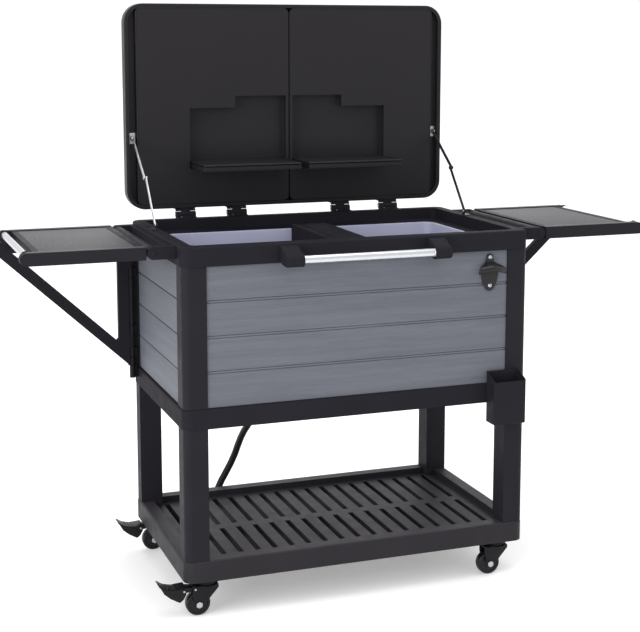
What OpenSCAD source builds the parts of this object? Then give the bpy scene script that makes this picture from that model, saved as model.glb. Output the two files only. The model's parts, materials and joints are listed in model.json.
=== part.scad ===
// Patio cooler cart: an insulated ice tub on a wheeled frame, with a tip-up lid,
// two fold-down side tables, a slatted shelf below and four swivel casters.
// Millimetres, +Z up. X runs along the front, +Y goes to the back.

/* [Body] */
// Width of the cart between the outer faces of the rim
body_w = 750; // [640:5:860]
// Depth of the cart between the outer faces of the rim
body_d = 450; // [430:5:520]
// Height of the slatted shelf's edge
tray_h = 43; // [36:1:55]
// Clear height between the shelf and the lower rail
leg_h = 270; // [200:5:340]
// Height of the lower rail
rail_h = 41; // [34:1:52]
// Height of the plank walls between rail and rim
panel_h = 282; // [270:2:340]
// Height of the top rim
rim_h = 39; // [36:1:50]
// Radius of the upright corners of rim, rail and shelf
corner_r = 22; // [16:1:28]
// Radius of the rounded top edges
edge_r = 5; // [3:0.5:6]

/* [Posts and planks] */
// Side of a square corner post
post_w = 48; // [42:1:56]
// Wall of a corner post
post_wall = 3; // [2:0.5:5]
// How far posts stand back from the rim's face
post_inset = 2; // [1:0.5:4]
// Radius of a post's outer corner
post_r = 16; // [10:1:19]
// Number of planks on each wall
plank_n = 4; // [3:1:6]
// Thickness of a plank
plank_t = 12; // [9:1:16]
// How far planks stand back from the rim's face
plank_inset = 5; // [4:0.5:9]
// Height of the groove between planks
groove_h = 6; // [4:0.5:9]
// Depth of the groove between planks
groove_t = 3; // [2:0.5:4]

/* [Rim and tub] */
// Width of the rim's top face
rim_w = 26; // [22:1:32]
// Drop from the rim's top to the tub's flange
ledge_drop = 25; // [20:1:26]
// Distance from the body's side to the tub's opening
tub_side = 64; // [58:1:80]
// Distance from the front to the tub's opening
tub_front = 62; // [58:1:80]
// Distance from the back to the tub's opening
tub_rear = 81; // [70:1:90]
// Depth of the tub
tub_depth = 252; // [220:2:258]
// Wall of the tub
tub_wall = 2.5; // [2:0.5:4]
// Draft of each tub wall from top to bottom
tub_draft = 8; // [4:1:14]
// Width of the divider between the two wells
divider_w = 84; // [60:2:100]
// Distance of the divider's middle to the right of the body's middle
divider_x = 15; // [-20:5:30]
// Height of the divider above the tub's flange
divider_rise = 9; // [4:1:14]

/* [Slatted shelf] */
// Width of the shelf's raised edge
tray_rim = 30; // [26:1:36]
// Depth of the slatted field below the raised edge
tray_drop = 14; // [8:1:20]
// Thickness of the slats
slat_t = 9; // [6:1:12]
// Distance between slots
slot_pitch = 37; // [32:1:46]
// Width of a slot
slot_w = 12; // [8:1:14]
// Width of the bar between the two rows of slots
mid_bar = 26; // [18:1:40]

/* [Casters] */
// Height from the floor to the shelf's underside
caster_h = 76; // [74:1:90]
// Diameter of a wheel
wheel_d = 50; // [44:1:52]
// Width of a wheel
wheel_t = 20; // [16:1:24]
// Distance from the swivel to the wheel's axle
trail = 20; // [16:1:24]
// Distance from the body's side to the swivel
caster_in_x = 51; // [46:1:70]
// Distance from the body's front or back to the swivel
caster_in_y = 30; // [28:1:60]
// Radius of a wheel axle
axle_r = 4; // [3:0.5:5]
// Thickness of a fork's cheeks
fork_t = 2.5; // [2:0.5:4]
// Length of a caster's top plate
plate_l = 56; // [48:1:60]
// Width of a caster's top plate
plate_w = 44; // [38:1:46]
// Thickness of a caster's top plate
plate_t = 3; // [2:0.5:3]
// Reach of a brake pedal from the swivel
pedal_reach = 101; // [92:1:106]
// Width of a brake pedal
pedal_w = 36; // [34:1:42]

/* [Lid] */
// Height of the lid as it stands open
lid_d = 453; // [440:1:520]
// How far the lid overhangs each side of the rim
lid_over = 4; // [2:1:8]
// Thickness of the lid
lid_t = 34; // [32:1:44]
// Radius of the lid's corners
lid_r = 42; // [30:1:60]
// Distance of the hinge axis behind the rim
hinge_back = 16; // [14:1:22]
// Height of the hinge axis above the rim
hinge_up = 6; // [6:0.5:9]
// Distance from the hinge axis to the lid's near edge
lid_gap = 14; // [12:1:18]
// Length of one hinge
hinge_w = 46; // [36:1:60]
// Distance from the middle to the inner hinges
hinge_x1 = 126; // [100:2:150]
// Distance from the middle to the outer hinges
hinge_x2 = 246; // [210:2:270]

/* [Lid shelves] */
// Width of a fold-down lid shelf's recess
shelf_w = 226; // [180:2:240]
// Reach of a lid shelf from its pivot
shelf_reach = 122; // [100:1:130]
// Thickness of a lid shelf
shelf_t = 16; // [12:1:16]
// Distance from the lid hinge to a shelf's pivot
shelf_b = 111; // [104:1:130]
// Wall between the two shelf recesses and the seam
shelf_mid = 8; // [7:1:14]
// Height of the tab above a recess
tab_h = 26; // [16:1:40]
// Width of the tab above a recess
tab_w = 120; // [80:2:150]

/* [Lid stays] */
// Distance from the lid hinge to the stay's pivot on the lid
stay_lid = 172; // [160:1:180]
// How much farther out the stay's pivot on the rim lies
stay_step = 12; // [11:1:16]
// Width of a stay's link
stay_w = 8; // [6:1:9]
// Thickness of a stay's link
stay_t = 2; // [1.5:0.5:2]
// Length of a stay anchor's foot
anchor_l = 24; // [18:1:28]
// Thickness of a stay anchor's foot
anchor_t = 1.5; // [1:0.5:2]

/* [Side tables] */
// Reach of a side table from the body's side
table_reach = 300; // [250:5:330]
// Width of a side table, front to back
table_w = 348; // [300:2:350]
// Distance from the body's front to a side table
table_front = 37; // [32:1:44]
// Height of a side table's rails
table_h = 25; // [22:1:30]
// Width of a side table's rails
table_rail = 20; // [16:1:24]
// Distance from the body's side to the table's pivot
table_pivot = 45; // [42:1:52]
// Radius of the table's end grip
grip_r = 7; // [5:0.5:8]
// Clear slot between the grip and the table's end bar
grip_slot = 8; // [6:1:20]
// Width of the table's end bar
end_bar = 12; // [10:1:20]

/* [Table brackets] */
// Thickness of a folding bracket
bracket_t = 12; // [8:1:12]
// Width of a bracket's bars
bracket_w = 24; // [18:1:28]
// Height of a bracket
bracket_h = 287; // [250:1:288]
// Reach of a bracket from the body's side
bracket_reach = 296; // [250:2:300]
// Height of a bracket's tip
bracket_tip = 30; // [26:1:36]

/* [Front fittings] */
// Length of the bare handle bar
handle_l = 280; // [220:5:340]
// Radius of the handle bar
handle_r = 8.5; // [7:0.5:10]
// Distance of the handle bar's middle in front of the rim
handle_out = 35; // [30:1:44]
// Width of one handle bracket
handle_end = 36; // [30:1:44]
// Distance from the body's side to the middle of the bottle opener
opener_in = 91; // [86:1:130]
// Height of the bottle opener
opener_h = 79; // [70:1:80]
// Width of the bottle opener's hood
hood_w = 64; // [58:2:66]
// Distance from the body's side to the cap bin's far wall
bin_in = 95; // [92:1:140]
// Width of the cap bin
bin_w = 74; // [60:1:84]
// Depth of the cap bin
bin_d = 38; // [32:1:50]
// Height of the cap bin
bin_h = 109; // [90:1:120]
// Wall of the cap bin
bin_wall = 2; // [1.5:0.5:3]

/* [Drain] */
// Distance of the drain to the left of the middle
drain_x = 100; // [80:2:140]
// Radius of the drain hose
hose_r = 8; // [6:0.5:8]

/* [Hidden] */
$fn = 32;
// Running clearance of pins and axles
fit = 0.05;
// Gap between neighbours on different bodies
gap = 0.3;

tray_z = caster_h;
tray_top = tray_z + tray_h;
rail_z = tray_top + leg_h;
rail_top = rail_z + rail_h;
rim_z = rail_top + panel_h;
rim_top = rim_z + rim_h;
half_w = body_w / 2;

flange_t = 3;
flange_z = rim_top - ledge_drop;
flange_lap = 4;
divider_lap = 12;
tub_w = body_w - 2 * tub_side;
tub_d = body_d - tub_front - tub_rear;
tub_mid_y = tub_front + tub_d / 2;
tub_floor = flange_z - tub_depth;
pan_t = 6;

hinge_y = body_d + hinge_back;
hinge_z = rim_top + hinge_up;
lid_clear = 1.5;
lid_face = lid_clear - hinge_up;
lid_w = body_w + 2 * lid_over;
lid_skin = 5;
lid_edge = 8;
gutter_w = 17;
gutter_t = 14;
panel_t = 27;
seam = 2;
knuckle_r = 6;
pin_r = 3;

recess_t = 22;
shelf_pin_r = 2.5;
shelf_pin_l = 5;
shelf_lift = 8.5;

stay_up = 2;
stay_rim = stay_lid + stay_step;
stay_span = norm([stay_rim + stay_up, stay_lid - stay_up]);
stay_slack = 2;
stay_low = (stay_span + stay_slack - stay_step) / 2;
stay_high = stay_low + stay_step;
stay_tilt = atan2(stay_lid - stay_up, stay_rim + stay_up);
stay_bend = acos((stay_low * stay_low + stay_span * stay_span - stay_high * stay_high)
    / (2 * stay_low * stay_span));
stay_low_a = stay_tilt + stay_bend;
elbow_y = -stay_rim + stay_low * cos(stay_low_a);
elbow_z = stay_up + stay_low * sin(stay_low_a);
stay_high_a = atan2(elbow_z - stay_lid, elbow_y - stay_up);
stay_pin_r = 2.5;
stay_x = half_w - 15;

table_top_z = rim_top - 1;
table_mid_z = table_top_z - table_h / 2;
table_x = half_w + table_pivot;
table_end = half_w + table_reach;
table_back = table_front + table_w;
table_side = 19;
table_tube_r = table_h / 2 - 1;
grip_x = table_end - grip_r - 6.5;
grip_z = table_top_z - grip_r - 0.5;
end_bar_x = grip_x - grip_r - grip_slot - end_bar;
table_pin_r = 4;

bracket_x = half_w + 13;
bracket_y = max(body_d - post_inset - post_w, table_back + bracket_t / 2 + 9);
bracket_top = table_top_z - table_h - 3;
bracket_pin_r = 3;

handle_z = rim_z + 9;
handle_shell = 5;
front_y = -handle_out - handle_r - handle_shell;
back_y = hinge_y + lid_face + lid_t;
mid_y = (front_y + back_y) / 2;

bin_x = half_w - bin_in;
bin_z = rail_z - rail_h;
opener_x = half_w - opener_in;
opener_z = rim_z - 6;
drain_y = 340;
drain_r = 10;
hose_top = rail_z + 11;

// Points of the hose from the drain down behind the shelf
hose_path = [
    [-100, 340, 400], [-100, 340, 384], [-100, 343, 366], [-102, 350, 347], [-105, 361, 328],
    [-109, 375, 309], [-114, 391, 291], [-119, 408, 273], [-124, 425, 254], [-128, 440, 234],
    [-132, 451, 213], [-137, 459, 191], [-145, 464, 169], [-156, 467, 147], [-168, 469, 125],
    [-178, 470, 103], [-185, 471, 80], [-189, 471, 57], [-190, 471, 40],
];

black = "#2b2a2d";
soft_black = "#333236";
slate = "#6d727b";
tub_grey = "#a3a9bd";
steel = "#c9cbcf";

// Puts a piece drawn from the front face into the part's own frame
module place() { translate([0, -mid_y, 0]) children(); }

// Mirrors a piece drawn on the right to the left as well
module both_sides() {
    children();
    mirror([1, 0, 0]) children();
}

// Rectangle with round corners, its corner at the origin
module round_rect(w, d, r) {
    translate([r, 0]) square([w - 2 * r, d]);
    translate([0, r]) square([w, d - 2 * r]);
    for (x = [r, w - r], y = [r, d - r])
        translate([x, y]) circle(r);
}

// Slab with round corners and a round top edge, centred on x, from y = 0
module soft_slab(w, d, h, r, e) {
    translate([-w / 2, 0, 0]) {
        linear_extrude(h - e) round_rect(w, d, r);
        translate([r, e, 0]) cube([w - 2 * r, d - 2 * e, h]);
        translate([e, r, 0]) cube([w - 2 * e, d - 2 * r, h]);
        for (y = [e, d - e])
            translate([r, y, h - e]) rotate([0, 90, 0]) cylinder(r = e, h = w - 2 * r);
        for (x = [e, w - e])
            translate([x, r, h - e]) rotate([-90, 0, 0]) cylinder(r = e, h = d - 2 * r);
        for (x = [r, w - r], y = [r, d - r])
            translate([x, y, 0]) rotate_extrude() {
                square([r - e, h]);
                square([r, h - e]);
                translate([r - e, h - e]) intersection() {
                    circle(e);
                    square(e);
                }
            }
    }
}

// Profile of a corner post, its round corner at the origin
module post_profile() {
    difference() {
        post_outline(post_w, post_r);
        translate([post_wall, post_wall]) post_outline(post_w - 2 * post_wall, post_r - post_wall);
    }
}

module post_outline(w, r) {
    translate([r, 0]) square([w - r, w]);
    translate([0, r]) square([w, w - r]);
    translate([r, r]) circle(r);
}

module posts(z, h) {
    color(black) place() for (sx = [-1, 1], sy = [0, 1])
        translate([sx * (half_w - post_inset), sy == 0 ? post_inset : body_d - post_inset, z])
            mirror([sx > 0 ? 1 : 0, 0, 0]) mirror([0, sy, 0])
                linear_extrude(h) post_profile();
}

module lower_posts() { posts(tray_top, leg_h); }
module upper_posts() { posts(rail_top, panel_h); }

// Slatted shelf: a moulded tray with two rows of long slots
module slat_shelf() {
    field_w = body_w - 2 * tray_rim;
    field_d = body_d - 2 * tray_rim;
    field_z = tray_z + tray_h - tray_drop;
    row_l = (field_d - mid_bar) / 2 - 14;
    slot_n = floor((field_w - 20) / slot_pitch);
    color(soft_black) place() difference() {
        translate([0, 0, tray_z]) soft_slab(body_w, body_d, tray_h, corner_r, edge_r);
        translate([-field_w / 2, tray_rim, field_z]) difference() {
            cube([field_w, field_d, tray_drop + 1]);
            // Corner pads that the posts stand on
            for (x = [0, field_w], y = [0, field_d])
                translate([x, y, -1]) cube([2 * pad(), 2 * pad(), 2 * tray_drop + 4], center = true);
        }
        translate([-field_w / 2, tray_rim, tray_z - 1]) difference() {
            cube([field_w, field_d, tray_h - tray_drop - slat_t + 1]);
            // Deep ribs below the slats
            translate([0, field_d / 2 - 3, 0]) cube([field_w, 6, tray_h]);
            for (k = [1, 2, 3])
                translate([k * field_w / 4 - 3, 0, 0]) cube([6, field_d, tray_h]);
            // Bosses above the casters
            for (x = [0, field_w], y = [0, field_d])
                translate([x, y, 0]) cube([2 * boss(), 2 * boss_y(), 2 * tray_h], center = true);
        }
        for (i = [0 : slot_n - 1], row = [-1, 1])
            translate([
                (i - (slot_n - 1) / 2) * slot_pitch - slot_w / 2,
                body_d / 2 + row * (mid_bar + row_l) / 2 - row_l / 2,
                field_z - slat_t - 1
            ]) cube([slot_w, row_l, slat_t + tray_drop / 2]);
    }
}
function pad() = post_inset + post_w - tray_rim;
function boss() = caster_in_x + 32 - tray_rim;
function boss_y() = caster_in_y + 26 - tray_rim;

// Lower rail: a ring that carries the cooler's floor
module lower_rail() {
    ring_w = post_w + 4;
    color(black) place() difference() {
        translate([0, 0, rail_z]) soft_slab(body_w, body_d, rail_h, corner_r, edge_r);
        translate([ring_w - half_w, ring_w, rail_z - 1])
            cube([body_w - 2 * ring_w, body_d - 2 * ring_w, rail_h + 2]);
    }
}

module base_pan() {
    ring_w = post_w + 4;
    color(black) place() difference() {
        translate([ring_w - half_w, ring_w, rail_top - pan_t])
            cube([body_w - 2 * ring_w, body_d - 2 * ring_w, pan_t]);
        translate([-drain_x, drain_y, rail_top - pan_t - 1]) cylinder(r = drain_r, h = pan_t + 2);
    }
}

// One plank, lying along x from its left end, with its face at y = 0
module plank(l, pitch, last) {
    top = last ? pitch : pitch - groove_h;
    rotate([90, 0, 90]) linear_extrude(l) polygon([
        [0, 0], [plank_t, 0], [plank_t, pitch], [last ? 0 : groove_t, pitch],
        [last ? 0 : groove_t, last ? pitch : top + 1], [0, last ? pitch - 0.5 : top],
    ]);
}

module plank_wall(l) {
    pitch = panel_h / plank_n;
    for (i = [0 : plank_n - 1])
        translate([-l / 2, 0, rail_top + i * pitch]) plank(l, pitch, i == plank_n - 1);
}

function wall_l(span) = span - 2 * (post_inset + post_w);

module front_planks() {
    color(slate) place() translate([0, plank_inset, 0]) plank_wall(wall_l(body_w));
}
module rear_planks() {
    color(slate) place() translate([0, body_d - plank_inset, 0]) rotate([0, 0, 180])
        plank_wall(wall_l(body_w));
}
module left_planks() {
    color(slate) place() translate([plank_inset - half_w, body_d / 2, 0]) rotate([0, 0, -90])
        plank_wall(wall_l(body_d));
}
module right_planks() {
    color(slate) place() translate([half_w - plank_inset, body_d / 2, 0]) rotate([0, 0, 90])
        plank_wall(wall_l(body_d));
}

// Tapered tub body, from its floor up to the flange
module tub_form(grow, z_floor, z_top) {
    r = 18;
    w = tub_w + 2 * grow;
    d = tub_d + 2 * grow;
    hull() {
        translate([0, tub_mid_y, z_top - 0.1]) linear_extrude(0.1)
            translate([-w / 2, -d / 2]) round_rect(w, d, r + grow);
        translate([0, tub_mid_y, z_floor]) linear_extrude(0.1)
            translate([tub_draft - w / 2, tub_draft - d / 2])
                round_rect(w - 2 * tub_draft, d - 2 * tub_draft, r + grow);
    }
}

// The tub's flange, and the seat it lies in when grown
module flange(grow, h) {
    lap = flange_lap + tub_wall + grow;
    translate([-tub_w / 2 - lap, tub_front - lap, flange_z - flange_t])
        linear_extrude(h) round_rect(tub_w + 2 * lap, tub_d + 2 * lap, 24);
}

module ice_tub() {
    color(tub_grey) place() difference() {
        union() {
            tub_form(tub_wall, tub_floor - tub_wall, flange_z);
            flange(0, flange_t);
        }
        tub_form(0, tub_floor, flange_z + 1);
        translate([-drain_x, drain_y, tub_floor - 2 * tub_wall]) cylinder(r = drain_r, h = 3 * tub_wall);
    }
}

// Foam block round the tub, inside the planks
module insulation() {
    back = plank_inset + plank_t;
    foot = post_inset + post_w;
    color("#d9d2bd") place() difference() {
        translate([0, 0, rail_top]) linear_extrude(rim_z - rail_top) difference() {
            translate([back - half_w, back]) square([body_w - 2 * back, body_d - 2 * back]);
            for (x = [-half_w, half_w], y = [0, body_d])
                translate([x, y]) square(2 * foot, center = true);
        }
        tub_form(tub_wall + gap, tub_floor - tub_wall, rim_z + 1);
        translate([-drain_x, drain_y, rail_top - 1]) cylinder(r = drain_r, h = panel_h);
    }
}

// Black box beam that parts the tub into two wells
module tub_divider() {
    bevel = 3;
    low = tub_floor + 40;
    // The tub is narrower at the divider's foot than at its head
    slope = tub_draft / tub_depth;
    foot_in = slope * (flange_z - low) + gap;
    top_z = flange_z + divider_rise;
    near = tub_front - divider_lap;
    far = tub_front + tub_d + divider_lap;
    color(black) place() translate([divider_x, 0, 0]) difference() {
        translate([-divider_w / 2, 0, 0]) rotate([90, 0, 90]) linear_extrude(divider_w) polygon([
            [tub_front + foot_in, low], [tub_front + tub_d - foot_in, low],
            [tub_front + tub_d - gap, flange_z], [far, flange_z], [far, top_z - bevel],
            [far - bevel, top_z], [near + bevel, top_z], [near, top_z - bevel],
            [near, flange_z], [tub_front + gap, flange_z],
        ]);
        // Closed hollow inside
        translate([4 - divider_w / 2, tub_front + 18, low + 4])
            cube([divider_w - 8, tub_d - 36, top_z - low - 10]);
        translate([-25, near - 1, top_z - 3]) cube([3, far - near + 2, 4]);
    }
}

// Top rim: a moulded frame with a ledge that the tub's flange hangs on
module top_rim() {
    well = rim_w;
    lip_w = tub_side - tub_wall - gap;
    color(soft_black) place() difference() {
        translate([0, 0, rim_z]) soft_slab(body_w, body_d, rim_h, corner_r, edge_r);
        translate([well - half_w, well, flange_z])
            linear_extrude(ledge_drop + 1) round_rect(body_w - 2 * well, body_d - 2 * well, 12);
        flange(gap, flange_t + 1);
        translate([lip_w - half_w, tub_front - tub_wall - gap, rim_z - 1])
            linear_extrude(rim_h) round_rect(body_w - 2 * lip_w,
                tub_d + 2 * (tub_wall + gap), 20);
    }
}

module handle_brackets() {
    color(soft_black) place() both_sides() difference() {
        translate([handle_l / 2, 0, 0]) rotate([90, 0, 90]) linear_extrude(handle_end) {
            translate([-handle_out, handle_z]) circle(handle_r + handle_shell);
            polygon([
                [-handle_out, handle_z + handle_r + handle_shell], [-handle_out / 2, rim_top - 8],
                [0, rim_top - edge_r], [0, rim_z], [-handle_out, handle_z - handle_r - handle_shell],
            ]);
        }
        translate([handle_l / 2 - 1, -handle_out, handle_z]) rotate([0, 90, 0])
            cylinder(r = handle_r + fit, h = handle_end - 5);
    }
}

module handle_bar() {
    l = handle_l + 2 * (handle_end - 7);
    color(steel) place() translate([-l / 2, -handle_out, handle_z]) rotate([0, 90, 0])
        cylinder(r = handle_r, h = l, $fn = 48);
}

// Cast wall opener: a plate with a hooded claw
module bottle_opener() {
    mid = opener_z - opener_h * 0.42;
    eye_r = 8;
    foot_r = 15;
    color(black) place() translate([opener_x, plank_inset, 0]) difference() {
        union() {
            rotate([90, 0, 0]) linear_extrude(4) {
                translate([0, opener_z - eye_r]) circle(eye_r);
                translate([0, opener_z - opener_h + foot_r]) circle(foot_r);
                polygon([
                    [-eye_r, opener_z - eye_r], [eye_r, opener_z - eye_r], [24, mid + 10],
                    [22, mid - 10], [foot_r, opener_z - opener_h + foot_r],
                    [-foot_r, opener_z - opener_h + foot_r], [-22, mid - 10], [-24, mid + 10],
                ]);
            }
            hull() {
                translate([-22, -6, mid + 8]) cube([44, 5, 4]);
                translate([-hood_w / 2, -26, mid + 2]) cube([hood_w, 3, 5]);
                translate([6 - hood_w / 2, -22, mid - 8]) cube([hood_w - 12, 5, 4]);
                translate([-10, -6, mid + 14]) cube([20, 5, 4]);
            }
        }
        hull() {
            translate([-20, -22, mid - 12]) cube([40, 17, 4]);
            translate([-14, -18, mid + 2]) cube([28, 12, 3]);
        }
        for (z = opener_screw_z())
            translate([0, 1, z]) rotate([90, 0, 0]) cylinder(r = 2.6, h = 8);
    }
}
function opener_screw_z() = [opener_z - 8, opener_z - opener_h + 12];

module opener_screws() {
    color(steel) place() for (z = opener_screw_z())
        translate([opener_x, plank_inset, z]) {
            rotate([90, 0, 0]) cylinder(r = 2.5, h = 4);
            translate([0, -4, 0]) rotate([90, 0, 0]) rotate_extrude() intersection() {
                translate([0, -3.5]) circle(5.5);
                square([6, 3]);
            }
        }
}

// Cap bin: an open box with a mouth that slopes to the front
module cap_bin() {
    slope = 17;
    r = 5;
    color(black) place() translate([bin_x, 0, bin_z]) difference() {
        union() {
            translate([r, -bin_d, 0]) cube([bin_w - 2 * r, bin_d, bin_h]);
            translate([0, -bin_d + r, 0]) cube([bin_w, bin_d - r, bin_h]);
            for (x = [r, bin_w - r]) translate([x, -bin_d + r, 0]) cylinder(r = r, h = bin_h);
        }
        translate([bin_wall, -bin_d + bin_wall, bin_wall])
            cube([bin_w - 2 * bin_wall, bin_d - 2 * bin_wall, bin_h]);
        translate([-1, 0, 0]) rotate([90, 0, 90]) linear_extrude(bin_w + 2) polygon([
            [-bin_d - 1, bin_h - slope], [-bin_wall - 2, bin_h - 1], [-bin_wall - 2, bin_h + 2],
            [-bin_d - 1, bin_h + 2],
        ]);
    }
}

module drain_fitting() {
    color(soft_black) place() translate([-drain_x, drain_y, 0]) difference() {
        union() {
            translate([0, 0, tub_floor]) cylinder(r = 17, h = 3);
            translate([0, 0, rail_top - 20]) cylinder(r = drain_r - 0.2, h = tub_floor - rail_top + 20);
            translate([0, 0, hose_top]) cylinder(r = 6, h = rail_top - 19 - hose_top);
        }
        translate([0, 0, hose_top - 1]) cylinder(r = 4, h = tub_depth);
    }
}

module drain_nut() {
    color(soft_black) place() translate([-drain_x, drain_y, rail_top - pan_t - 8]) difference() {
        cylinder(r = 17, h = 8, $fn = 6);
        translate([0, 0, -1]) cylinder(r = drain_r - 0.2, h = 10);
    }
}

// Tube swept along the hand-laid points of the hose
module drain_hose() {
    sides = 10;
    last = len(hose_path) - 1;
    rings = [for (i = [0 : last]) let(
        p = hose_path[i],
        run = hose_path[min(i + 1, last)] - hose_path[max(i - 1, 0)],
        dir = run / norm(run),
        across = cross(dir, [1, 0, 0]) / norm(cross(dir, [1, 0, 0])),
        up = cross(across, dir)
    ) [for (k = [0 : sides - 1]) let(a = 360 * k / sides)
        p + hose_r * (cos(a) * across + sin(a) * up)]];
    color(black) place() polyhedron(
        points = [for (ring = rings, p = ring) p],
        faces = concat(
            [[for (k = [sides - 1 : -1 : 0]) k]],
            [for (i = [0 : last - 1], k = [0 : sides - 1]) let(
                a = i * sides + k,
                b = i * sides + (k + 1) % sides
            ) each [[a, b, b + sides], [a, b + sides, a + sides]]],
            [[for (k = [0 : sides - 1]) last * sides + k]]
        )
    );
}

// Places a piece at one caster's swivel axis, by side and end
module at_caster(sx, ey) {
    translate([
        sx * (half_w - caster_in_x),
        ey == 0 ? caster_in_y : body_d - caster_in_y,
        0
    ]) children();
}
fork_top = caster_h - 12;
king_r = 5;

module caster_plates() {
    color(black) place() for (sx = [-1, 1], ey = [0, 1]) at_caster(sx, ey) {
        translate([-plate_l / 2, -plate_w / 2, caster_h - plate_t]) cube([plate_l, plate_w, plate_t]);
        translate([0, 0, fork_top + gap])
            cylinder(r = 18, h = caster_h - plate_t - fork_top - gap + 1);
        translate([0, 0, fork_top - 6]) cylinder(r = king_r, h = 8);
        translate([0, 0, fork_top - 7]) cylinder(r = 8, h = 3.5);
    }
}

// Fork: two cheeks that lean from the swivel to the axle
module caster_fork(sx, ey) {
    inner = wheel_t / 2 + 1.5;
    axle_z = wheel_d / 2;
    top_t = 3;
    color(black) place() at_caster(sx, ey) difference() {
        union() {
            translate([0, 0, fork_top - top_t]) cylinder(r = 21, h = top_t);
            translate([-24, -inner - fork_t, fork_top - top_t])
                cube([40, 2 * (inner + fork_t), top_t]);
            for (s = [-1, 1]) translate([0, s * (inner + fork_t / 2), 0])
                rotate([90, 0, 0]) linear_extrude(fork_t, center = true) {
                    translate([-trail, axle_z]) circle(9);
                    polygon([
                        [-32, fork_top], [16, fork_top], [16, fork_top - 12],
                        [-trail + 8, axle_z - 4], [-trail - 9, axle_z], [-33, fork_top - 12],
                    ]);
                }
            // Pin that the brake pedal swings on
            if (sx < 0) translate([brake_x, 0, brake_z]) rotate([90, 0, 0])
                cylinder(r = brake_pin_r, h = 2 * (inner + fork_t), center = true);
        }
        translate([0, 0, fork_top - 20]) cylinder(r = king_r + fit, h = 24);
        translate([-trail, 0, axle_z]) rotate([90, 0, 0])
            cylinder(r = axle_r + fit, h = 60, center = true);
    }
}

module caster_wheel(sx, ey) {
    r = wheel_d / 2;
    t = wheel_t / 2;
    color(black) place() at_caster(sx, ey) translate([-trail, 0, r]) rotate([90, 0, 0])
        rotate_extrude($fn = 64) difference() {
            union() {
                translate([axle_r + fit, -t]) square([r - 4 - axle_r - fit, 2 * t]);
                translate([axle_r + fit, -t + 4]) square([r - axle_r - fit, 2 * t - 8]);
                for (s = [-1, 1]) translate([r - 4, s * (t - 4)]) circle(4);
            }
            for (s = [-1, 1]) translate([r - 7.5, s * t]) circle(2);
        }
}

module caster_axle(sx, ey) {
    reach = wheel_t / 2 + 1.5 + fork_t;
    color(steel) place() at_caster(sx, ey) translate([-trail, 0, wheel_d / 2]) rotate([90, 0, 0]) {
        cylinder(r = axle_r, h = 2 * reach + 2, center = true);
        for (s = [-1, 1]) translate([0, 0, s * (reach + 2.1)])
            cylinder(r = 7, h = 4, center = true, $fn = 6);
    }
}

// Toe pedal that swings down on the trailing side of a caster
brake_x = -trail - 6;
brake_z = fork_top - 7;
brake_pin_r = 2;
module brake_pedal(ey) {
    inner = wheel_t / 2 + 1.1;
    tip = -pedal_reach;
    heel = brake_x - 22;
    color(black) place() at_caster(-1, ey) difference() {
        union() {
            rotate([90, 0, 0]) linear_extrude(2 * inner, center = true) {
                translate([brake_x, brake_z]) circle(3.5);
                polygon([
                    [brake_x, brake_z + 3.4], [heel - 4, fork_top], [heel - 4, fork_top - 14],
                    [heel + 4, fork_top - 13], [brake_x, brake_z - 3.4],
                ]);
            }
            rotate([90, 0, 0]) linear_extrude(pedal_w, center = true) polygon([
                [heel, fork_top + 1], [tip + 29, fork_top - 1], [tip + 13, fork_top + 3],
                [tip, fork_top + 11], [tip - 1, fork_top + 9], [tip + 9, fork_top - 8],
                [tip + 23, fork_top - 20], [heel - 12, fork_top - 30],
                [heel - 4, fork_top - 24], [heel, fork_top - 12],
            ]);
        }
        translate([brake_x, 0, brake_z]) rotate([90, 0, 0])
            cylinder(r = brake_pin_r + fit, h = 60, center = true);
        rotate([90, 0, 0]) linear_extrude(pedal_w - 5, center = true) polygon([
            [heel - 7, fork_top - 5], [tip + 29, fork_top - 5], [tip + 16, fork_top - 4],
            [tip + 13, fork_top - 9], [tip + 25, fork_top - 21], [heel - 12, fork_top - 31],
            [heel - 5, fork_top - 27],
        ]);
    }
}

// Lid pieces are drawn closed, round the hinge axis, and tipped up to stand open
module lid_frame() {
    place() translate([0, hinge_y, hinge_z]) rotate([-90, 0, 0]) children();
}

module lid_shell() {
    deep = lid_t - lid_skin;
    near = -lid_gap;
    far = -lid_gap - lid_d;
    inner_r = lid_r - lid_edge;
    inner_w = lid_w - 2 * lid_edge;
    inner_d = lid_d - 2 * lid_edge;
    color(black) lid_frame() difference() {
        translate([0, far, lid_face]) soft_slab(lid_w, lid_d, lid_t, lid_r, 8);
        translate([-inner_w / 2, far + lid_edge, lid_face - 1])
            linear_extrude(gutter_t + 1) round_rect(inner_w, inner_d, inner_r);
        translate([-inner_w / 2 + gutter_w, far + lid_edge, lid_face - 1])
            linear_extrude(deep + 1) round_rect(inner_w - 2 * gutter_w, inner_d, 12);
    }
}

// Inner lid lining: two moulded halves, each with a recess for a fold-down shelf
module lid_panels() {
    half = (lid_w - 2 * lid_edge) / 2 - gutter_w - gap;
    near = -lid_gap - lid_edge - gap;
    depth = lid_d - 2 * lid_edge - 2 * gap;
    color(soft_black) lid_frame() both_sides() difference() {
        translate([seam / 2, near - depth, lid_face])
            linear_extrude(panel_t) round_rect(half - seam / 2, depth, 12);
        translate([shelf_mid, -shelf_b - shelf_reach - 3, lid_face - 1])
            cube([shelf_w, shelf_reach + 3 + shelf_t / 2 + 1, recess_t + 1]);
        translate([shelf_mid, -shelf_b - shelf_reach - 3 - tab_h, lid_face - 1])
            cube([tab_w, tab_h + 1, recess_t + 1]);
        translate([shelf_mid - shelf_pin_l - 1, -shelf_b, lid_face + shelf_lift])
            rotate([0, 90, 0]) cylinder(r = shelf_pin_r + fit, h = shelf_w + 2 * shelf_pin_l + 2);
    }
}

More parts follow.
